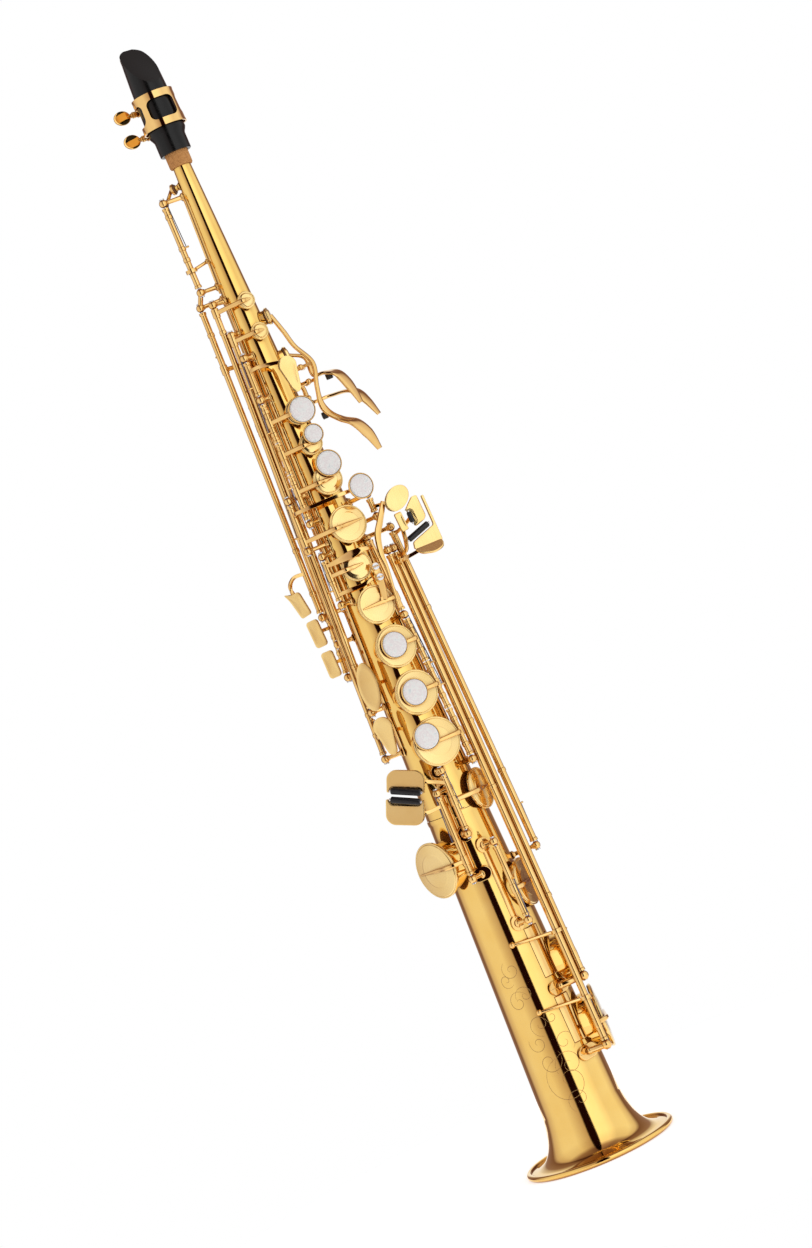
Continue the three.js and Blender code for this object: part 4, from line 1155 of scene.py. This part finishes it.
def table_keys():
    """The left little finger's keys for low C-sharp, B and B-flat, and the low C-sharp cup."""
    # The low C-sharp plate is a hook round its roller. The low B-flat plate has a strip up its outer side.
    hook = rounded_outline([
        (-6.2, 1.8), (0.6, 8.1), (4, 8.1), (4.5, -5), (3, -6.9), (-3, -8.8), (-4.6, -7.4), (-1.6, -6.8),
        (-1.9, 1.4),
    ])
    lip = rounded_outline([(-9.4, 0.6), (-7, -4.6), (1, -7.4), (7.4, -5.6), (8.4, -0.2)], 2.5)
    hatchet = rounded_outline([
        (-9.4, 0.4), (8.4, -0.4), (8.4, 3), (7.9, 28), (6.1, 28), (6.4, 9.8), (-8.6, 4.8),
    ])
    place = (46.2, -11.4, 384.5)
    reach = touch_arm(hinges["low_c_sharp_lever"], 376.5, [(39, -4, 380)], place)
    lever_key("low_c_sharp_lever", 180.9, 378.6, None, reach, (226, 330), LONG_SLEEVE)
    touch_plate("c_sharp_touch", "low_c_sharp_lever", hook, place, 10, 0, 0)
    place = (36.1, -12.5, 381.4)
    reach = touch_arm(hinges["low_b"], 364, [(33, -9, 366)], place)
    stack_key("low_b", 102.4, 366.6, None, reach, (150, 260), LONG_SLEEVE)
    touch_plate("low_b_touch", "low_b", rounded_box(4.6, 11.4, 1), place, 10, 3)
    place = (46, -13.6, 363)
    reach = touch_arm(hinges["low_b_flat"], 361, [(30, -13, 361)], place)
    stack_key("low_b_flat", 61.4, 366.6, None, reach, (88, 129.5, 220), LONG_SLEEVE)
    touch_plate("low_b_flat_touch", "low_b_flat", hatchet, place, 10, 0, 0)
    bent = Matrix.Translation(place) @ facing(10, 0, 0) @ Matrix.Rotation(math.radians(-35), 4, "X")
    piece("low_b_flat_lip", [plate(lip, 1.5, bent, 0.4)], "plates", "low_b_flat")
    lever_key("low_c_sharp_cup", 145.4, 188.6, holes["low_c_sharp"])


def little_finger_keys():
    """The right little finger's keys, whose plates face each other across two rollers."""
    place = (-19.5, -29.5, 243.8)
    reach = touch_arm(hinges["low_e_flat"], 233, [(-8, -30, 238)], place)
    lever_key("low_e_flat", 204.4, 237.6, holes["low_e_flat"], reach)
    upper = beside_roller(22.4, 6, -4.1, -7.2, 18.6)
    touch_plate("e_flat_touch", "low_e_flat", upper, place, -14, -23, 0)
    place = (-26.3, -28, 226.6)
    reach = touch_arm(hinges["low_c"], 222, [(-16, -29, 222)], place)
    stack_key("low_c", 179.4, 226.6, None, reach)
    lower = beside_roller(22.8, -7.4, 4.4, 7.4, 18.6, -0.6)
    touch_plate("low_c_touch", "low_c", lower, place, -14, -23, 0)


def rollers():
    roller("table_roller_upper", "low_c_sharp_lever", (42.3, -13.1, 378.6), (42.3, -13.1, 385), 1.5)
    roller("table_roller_lower", "low_b_flat", (36, -18, 369.9), (50.2, -15.5, 374.6), 1.8)
    roller("little_finger_roller_upper", "low_e_flat", (-29.9, -30.5, 241.6), (-14.3, -34.4, 234.1), 2)
    roller("little_finger_roller_lower", "low_c", (-31.9, -30.2, 236.9), (-16.6, -34, 229.3), 2)


def side_keys():
    horn = rounded_outline([
        (-3.5, -8), (3.6, -8), (3.8, 5.6), (2.6, 7), (-1.4, 7), (-5.6, 9.8), (-4.2, 4.6),
    ], 1.6)
    # Each key: its tube's ends, its hole, where its arm starts and passes, and its plate.
    rows = [
        ("side_e", (351.4, 538.6), "high_e", 376, [(-34, -5, 376), (-38, -8, 371)],
         horn, (-36.2, -9.5, 360.4), -20, 10),
        ("side_c", (333.4, 474.6), "side_c", 341.5, [(-32, 0, 341.5)],
         rounded_box(7.8, 16.4, 2), (-33.7, -9, 341), -20, 2),
        ("side_b_flat", (313.4, 443.6), "side_b_flat", 321.5, [(-32, 1, 321.5)],
         rounded_box(7.8, 16, 2), (-33, -9, 321.4), -20, 0),
        ("high_f_sharp", (289.4, 514.2), "high_f_sharp", 301, [],
         oval(12.5, 29), (-18, -19, 301), -18, -6),
        ("high_g", (261.4, 536.6), "high_g", 272, [(-25, -13, 272)],
         teardrop(12.4, 23), (-19.5, -18, 271), -24, 0),
    ]
    for name, (low, high), hole, from_z, via, outline, place, angle, tilt in rows:
        collars = (low + 12, from_z + 14, high - 14)
        lever_key(name, low, high, holes[hole], touch_arm(hinges[name], from_z, via, place), collars)
        touch_plate(name + "_touch", name, outline, place, angle, tilt)


def needle_springs():
    """Blued needles that run from a post along each hinge tube to a hook on it."""
    # Each row: the key, the heights of the post and the hook, and the spring's side of the tube.
    rows = [
        ("low_d", 331.5, 300, 70), ("low_e", 331.5, 286, 110), ("low_c", 229.5, 200, -60),
        ("low_e_flat", 240.5, 216, 80), ("a", 400.5, 424, -80), ("b", 477.5, 458, -70),
        ("front_f", 503.5, 486, -80), ("g", 417.5, 396, -100), ("high_f_sharp", 286.5, 306, -150),
        ("high_g", 258.5, 282, 30), ("side_e", 541.5, 512, -150), ("side_c", 330.5, 352, -160),
        ("side_b_flat", 310.5, 332, -170), ("low_b", 99.5, 128, 150), ("low_b_flat", 58.5, 86, 140),
        ("low_c_sharp_lever", 178, 204, 130), ("low_c_sharp_cup", 142.5, 168, 40),
        ("g_sharp_cup", 380.5, 360, -70), ("neck_octave", 605.5, 577, 70),
    ]
    aside, needle, hook_wire = 2.9, 0.28, 0.5
    for name, post_z, hook_z, angle in rows:
        hinge = hinges[name]
        offset = outward(angle) * aside
        start, end = hinge.point(post_z) + offset * 0.7, hinge.point(hook_z) + offset
        piece(name + "_needle_spring", [rod(start, end, needle, 8, 0.05)], "spring")
        tip = end + outward(angle) * 1.1
        hook = [wire([hinge.point(hook_z) + outward(angle) * 1.2, end, tip], hook_wire), ball(tip, 0.65, 12)]
        piece(name + "_spring_hook", hook, "keys", name)


# ---- palm keys and octave keys: see-saws, each in a plane through the bore ----
def see_saw(hinge):
    return rod(hinge.along(-2.5), hinge.along(2.5), SLEEVE, 24)


def ears(hinge, angle):
    """Two small posts that hold a see-saw's pivot, on a saddle."""
    z = hinge.at.z
    solids = [rib(angle, z - 2, z + 2, 5.4)]
    for side in (-4.4, 4.4):
        top = hinge.at + sideways(angle) * side
        flat = Vector((top.x, top.y, 0))
        foot = flat.normalized() * (tube_radius(z) + 0.6) + UP * z
        solids += [rod(foot, top, 1, 16), ball(top, 1.7, 20)]
    return solids


def palm_key(name, web, leaf, sections, twist):
    """A see-saw with a cup on one side and a leaf on the other, turned `twist` degrees to the front."""
    hinge, hole = hinges[name], holes[name]
    across = sideways(hole.angle - twist)
    path = smooth_path([hole.over(0, -0.3)] + [polar(*point) for point in leaf], 8)
    web_arm = arm([hinge.at, polar(hole.angle, *web)], 2.8, 2.2, across)
    forged(name, [see_saw(hinge), web_arm, sweep(path, sections, across, 20, 3)])
    cup_and_pad(name, hole, False)
    return ears(hinge, hole.angle)


def palm_keys():
    slim, neck, broad, tip = (3, 2), (5.5, 2.2), (9.6, 2.2), (4.5, 1)
    palm_f = [
        (82, 17, 510), (82, 19.5, 500), (82, 25.5, 487), (82, 22.5, 474), (82, 20.8, 464), (82, 22.5, 457),
        (82, 28, 450.5), (82, 35, 445), (82, 39.5, 436), (82, 42, 425.6),
    ]
    ears_and_straps = palm_key(
        "palm_f", (24.5, 487), palm_f, [slim] * 5 + [neck, neck, broad, broad, tip], 34
    )
    palm_e_flat = [
        (100, 22.5, 492), (100, 23.5, 481), (100, 30, 479.5), (100, 37, 476), (100, 41, 466),
        (100, 43, 455.5),
    ]
    ears_and_straps += palm_key(
        "palm_e_flat", (23.4, 478), palm_e_flat, [slim] * 2 + [neck, broad, broad, tip], 45
    )
    palm_d = [
        (140, 22, 478), (138, 23, 468), (126, 34, 467), (117, 45, 465), (114, 50, 457), (112, 53.5, 446)
    ]
    ears_and_straps += palm_key("palm_d", (22, 470), palm_d, [slim] * 2 + [neck, broad, broad, tip], 85)
    piece("palm_key_posts_turned", ears_and_straps, "keys", "body", ["palm_key_posts"])
    stops = {
        "palm_f": (polar(82, 18.4, 456), outward(82)),
        "palm_e_flat": (polar(100, 31.5, 475), UP),
        "palm_d": (polar(135, 19, 467), outward(135)),
    }
    for name, (place, direction) in stops.items():
        piece(name + "_felt", [felt(place, direction)], "felt", name)


def octave_keys():
    neck, pip = hinges["neck_octave"], pips["neck_octave"]
    tube = sleeve(neck, 552.4, 602.6, (570, 577, 597))
    reach = arm([neck.point(601), pip.over(5, 3, 606), pip.over(0, 0)], 2, 1.8)
    forged("neck_octave", [tube, cup_solid(pip), reach])
    piece("neck_octave_pad", [pad_solid(pip)], "leather", "neck_octave")
    body, pip = hinges["body_octave"], pips["body_octave"]
    across = sideways(pip.angle)
    reach = arm([pip.over(0, 0), polar(pip.angle, 16.5, 536), polar(pip.angle, 17, 514)], 2.6, 1.8, across)
    web = arm([body.at, polar(pip.angle, 16.8, 530)], 2.6, 2, across)
    forged("body_octave", [see_saw(body), cup_solid(pip), reach, web])
    piece("body_octave_pad", [pad_solid(pip)], "leather", "body_octave")
    thumb = hinges["octave_thumb_lever"]
    lever = arm([polar(180, 16, 507), polar(180, 17.6, 475), polar(180, 19, 465)], 3, 1.8, sideways(180))
    button = plate(oval(13, 13), 1.6, facing(180, 18.4, 463), 0.5, 0.4)
    piece("octave_thumb_lever_forged", [see_saw(thumb), lever, button], "keys", "octave_thumb_lever",
          ["octave_thumb_lever"])
    solids = [rib(180, 473, 534, 2), ears(body, pip.angle), ears(thumb, 180)]
    piece("octave_posts_turned", solids, "keys", "body", ["octave_posts"])


# ---- what the thumbs and the strap use ----
def thumb_pieces():
    base = facing(172, tube_radius(447), 447)
    dome = [(0, 0), (3.4, 0), (3.2, 2.6), (6, 4), (6, 5.6)]
    dome += curve([(5.6, 6.2), (3, 6.8), (0, 7)])[1:-1] + [(0, 7)]
    piece("thumb_rest_turned", [turned(rounded(dome, 0.3), base, 40)], "keys", "body", ["thumb_rest"])
    radius = tube_radius(262)
    path = smooth_path([polar(180, radius + r, z) for r, z in ((1.4, 262), (12, 264), (20, 257), (21, 246))])
    hook = sweep(path, [(8, 2.4), (10, 2.4), (10, 2.2), (9, 2)], sideways(180), 16)
    piece("thumb_hook_forged", [rib(180, 252, 272, 5), hook], "keys", "body", ["thumb_hook"])
    strap, ring, wire_radius = tube_radius(350), 5, 1.3
    section = [(ring + x, y) for x, y in oval(2 * wire_radius, 2 * wire_radius, 16)]
    eye = turned(section + [section[0]], frame_at(polar(180, strap + 8, 350), sideways(180)), 48)
    stem = rod(polar(180, strap + 0.4, 350), polar(180, strap + 3.4, 350), 2, 24)
    piece("strap_ring_turned", [rib(180, 344, 356, 3.5), eye, stem], "keys", "body", ["strap_ring"])


# ---- the mouthpiece ----
def box_solid(width, height, depth, matrix):
    corners = [(x * width / 2, y * height / 2) for x, y in ((1, 1), (-1, 1), (-1, -1), (1, -1))]
    return plate(corners, depth, matrix, 0.01)


def softened(made, width):
    """Rounds an object's sharp edges."""
    step = made.modifiers.new("rounded_edges", "BEVEL")
    step.width = width * MM
    step.segments = 3
    step.limit_method = "ANGLE"
    step.angle_limit = math.radians(30)
    step.harden_normals = False


def make_mouthpiece():
    low, body = MOUTHPIECE_BOTTOM, 11.2
    beak = [(body, 644), (10.9, 656), (10.5, 668), (9.9, 680), (9, TIP - 5), (8.1, TIP - 2), (6.5, TIP)]
    outside = [
        (0, low), (9.2, low), (9.5, low + 0.4), (9.5, 639.6), (9.8, 640.6), (body - 0.3, 642.6),
        (body, 643.4), *curve(beak, 5), (0, TIP),
    ]
    made = mesh_object("mouthpiece_body", [turned(outside, sides=96)])
    bore = [(0, low - 1), (7.5, low - 1), (7.5, TUBE_TOP + 1), (5.5, TUBE_TOP + 4), (5, 674), (0, 676)]
    beakward = outward(BEAK_ANGLE)
    run, drop = 25.5, 16
    lie = (UP * run - beakward * drop).normalized()
    face = (beakward * run + UP * drop).normalized()
    slope = basis(sideways(BEAK_ANGLE), lie, face, polar(BEAK_ANGLE, 3, 683.5))
    cuts = [
        turned(bore, sides=48),
        box_solid(40, 60, 40, slope),
        box_solid(40, 60, 20, facing(BEAK_ANGLE, -TABLE - 20, 673)),
        box_solid(8.4, 24, 8, facing(BEAK_ANGLE, -10.5, 680)),
    ]
    combined(made, cuts, "DIFFERENCE")
    softened(made, 0.35)
    settle(made, "ebonite", "mouthpiece_assembly", ["mouthpiece"])


def make_reed():
    """Flat on the table, round-backed, thinned to its tip."""
    heel, end = 643.5, TIP - 0.7
    across, out = sideways(BEAK_ANGLE), -outward(BEAK_ANGLE)
    points, count, steps = [], 12, 32
    for i in range(steps + 1):
        share = i / steps
        z = heel + (end - heel) * share
        near_tip = max(0.0, (z - (end - 5)) / 5)
        half = (5.6 + 0.75 * share) * math.sqrt(max(0.01, 1 - near_tip**2.4))
        vamp = max(0.0, (share - 0.5) / 0.5)
        thick = 1.9 * (1 - vamp) ** 1.3 + 0.22
        for j in range(count):
            turn = math.pi * j / (count - 1)
            back = thick * (0.45 + 0.55 * math.sin(turn) ** 0.7) if 0 < j < count - 1 else 0
            points.append(across * half * math.cos(turn) + out * (TABLE + 0.05 + back) + UP * z)
    piece("reed_cut", [skin(points, count)], "cane", "mouthpiece_assembly", ["reed"])


SCREW_ANGLE = BEAK_ANGLE + 180
WINDOW_ANGLES = (-82, 16, 114)
SCREW_HEIGHTS = {"ligature_screw_upper": 662.5, "ligature_screw_lower": 647.5}
SCREW_RADIUS = 16.4


def ligature_radius(z):
    return 11.7 + (668 - z) / 25 * 0.7


def make_ligature():
    low, high, thick, bead = 646, 667, 0.8, 0.95
    wide, narrow = ligature_radius(low), ligature_radius(high)
    ring = [
        (wide + bead, low), (wide + bead, low + 1), (wide + thick, low + 1.5),
        (narrow + thick, high - 1.5), (narrow + bead, high - 1), (narrow + bead, high),
        (narrow, high), (wide, low), (wide + bead, low),
    ]
    made = mesh_object("ligature_band", [turned(ring, sides=96)])
    window = rounded_box(16.5, 12.4, 3.4)
    cuts = [plate(window, 10, facing(angle, 7, 656.5), 0.01) for angle in WINDOW_ANGLES]
    cuts.append(box_solid(2, 30, 8, facing(SCREW_ANGLE, 10, 656)))
    combined(made, cuts, "DIFFERENCE")
    softened(made, 0.15)
    settle(made, "keys", "mouthpiece_assembly", ["ligature"])


def make_lugs():
    """Two blocks at each height, which the screws pass through."""
    axis, lugs = sideways(SCREW_ANGLE), []
    for z in SCREW_HEIGHTS.values():
        for side in (-1.7, 5.1):
            corner = polar(SCREW_ANGLE, 14.4, z) + axis * side
            matrix = basis(outward(SCREW_ANGLE), UP, -axis, corner)
            lugs.append(plate(rounded_box(6.4, 5, 2), 3.2, matrix, 0.4))
    piece("ligature_lugs", lugs, "keys", "mouthpiece_assembly")


def make_ligature_screws():
    for name, z in SCREW_HEIGHTS.items():
        middle = polar(SCREW_ANGLE, SCREW_RADIUS, z)
        axis = sideways(SCREW_ANGLE)
        paddle = frame_at(middle + axis * 15, outward(SCREW_ANGLE), UP)
        head = plate(oval(11, 8.6), 1.5, paddle @ Matrix.Translation((0, 0, -0.75)), 0.5, -0.3)
        solids = [
            rod(middle - axis * 6, middle + axis * 11.5, 0.9, 20),
            rod(middle + axis * 5.6, middle + axis * 8, 1.9, 28, 0.4),
            rod(middle + axis * 8, middle + axis * 9.2, 1.4, 28, 0.4),
            head,
        ]
        piece(name + "_turned", solids, "keys", name, [name])


# ---- floor and light ----
def add_floor():
    radius, white, glow = 0.3, 0.9, 0.66
    steps = [2 * math.pi * i / 96 for i in range(96)]
    mesh = bpy.data.meshes.new("floor")
    points = [AXIS + Vector((radius * math.cos(a), radius * math.sin(a), 0)) for a in steps]
    mesh.from_pydata(points, [], [list(range(96))])
    floor = bpy.data.objects.new("floor", mesh)
    bpy.context.scene.collection.objects.link(floor)
    material, tree, shader = nodes_of("pale_floor")
    tone = noise(tree, place_nodes(tree), 3, 2)
    paper = ramp(tree, tone, [(0.3, (white - 0.01,) * 3), (0.7, (white,) * 3)])
    link(tree, paper, shader.inputs["Base Color"])
    shader.inputs["Roughness"].default_value = 0.9
    shader.inputs["Specular IOR Level"].default_value = 0.1
    shader.inputs["Emission Color"].default_value = (1, 1, 1, 1)
    shader.inputs["Emission Strength"].default_value = glow
    mesh.materials.append(material)


def warm(level):
    """A grey that turns redder as it gets darker."""
    return (level, level**1.35, level**1.4) if level < 1 else (level,) * 3


def add_studio():
    """A white room with a few dark gaps between its panels: in front, near each side, and above."""
    world = bpy.data.worlds.new("studio")
    bpy.context.scene.world = world
    world.use_nodes = True
    tree = world.node_tree
    background = tree.nodes["Background"]
    place = tree.nodes.new("ShaderNodeTexCoord").outputs["Generated"]
    turn = tree.nodes.new("ShaderNodeTexGradient")
    turn.gradient_type = "RADIAL"
    link(tree, place, turn.inputs["Vector"])
    bands = [
        (-172, 0.95), (-162, 0.3), (-134, 0.2), (-122, 0.65), (-96, 0.9), (-50, 0.92), (-28, 0.7),
        (-15, 0.55), (-12, 0.012), (7, 0.012), (10, 1.35), (36, 1.25), (60, 0.95), (96, 1),
        (116, 0.75), (128, 0.2), (160, 0.3), (170, 0.95),
    ]
    stops = sorted(((0.25 + angle / 360) % 1, warm(level)) for angle, level in bands)
    around = ramp(tree, turn.outputs["Fac"], [(0, stops[0][1])] + stops)
    split = tree.nodes.new("ShaderNodeSeparateXYZ")
    link(tree, place, split.inputs["Vector"])
    heights = [(0, 1), (0.5, 1), (0.8, 0.85), (0.9, 0.35), (1, 0.2)]
    above = ramp(tree, split.outputs["Z"], [(height, warm(level)) for height, level in heights])
    room = blend(tree, 1.0, around, above, "MULTIPLY")
    seen = tree.nodes.new("ShaderNodeLightPath").outputs["Is Camera Ray"]
    link(tree, blend(tree, seen, room, (1, 1, 1, 1)), background.inputs["Color"])
    bpy.context.scene.view_settings.view_transform = "Standard"


make_tube()
make_bell()
engrave_bell()
make_cork()
make_posts()
right_hand_stack()
left_hand_stack()
g_sharp_keys()
table_keys()
little_finger_keys()
rollers()
side_keys()
needle_springs()
palm_keys()
octave_keys()
thumb_pieces()
make_mouthpiece()
make_reed()
make_ligature()
make_lugs()
make_ligature_screws()
add_floor()
add_studio()
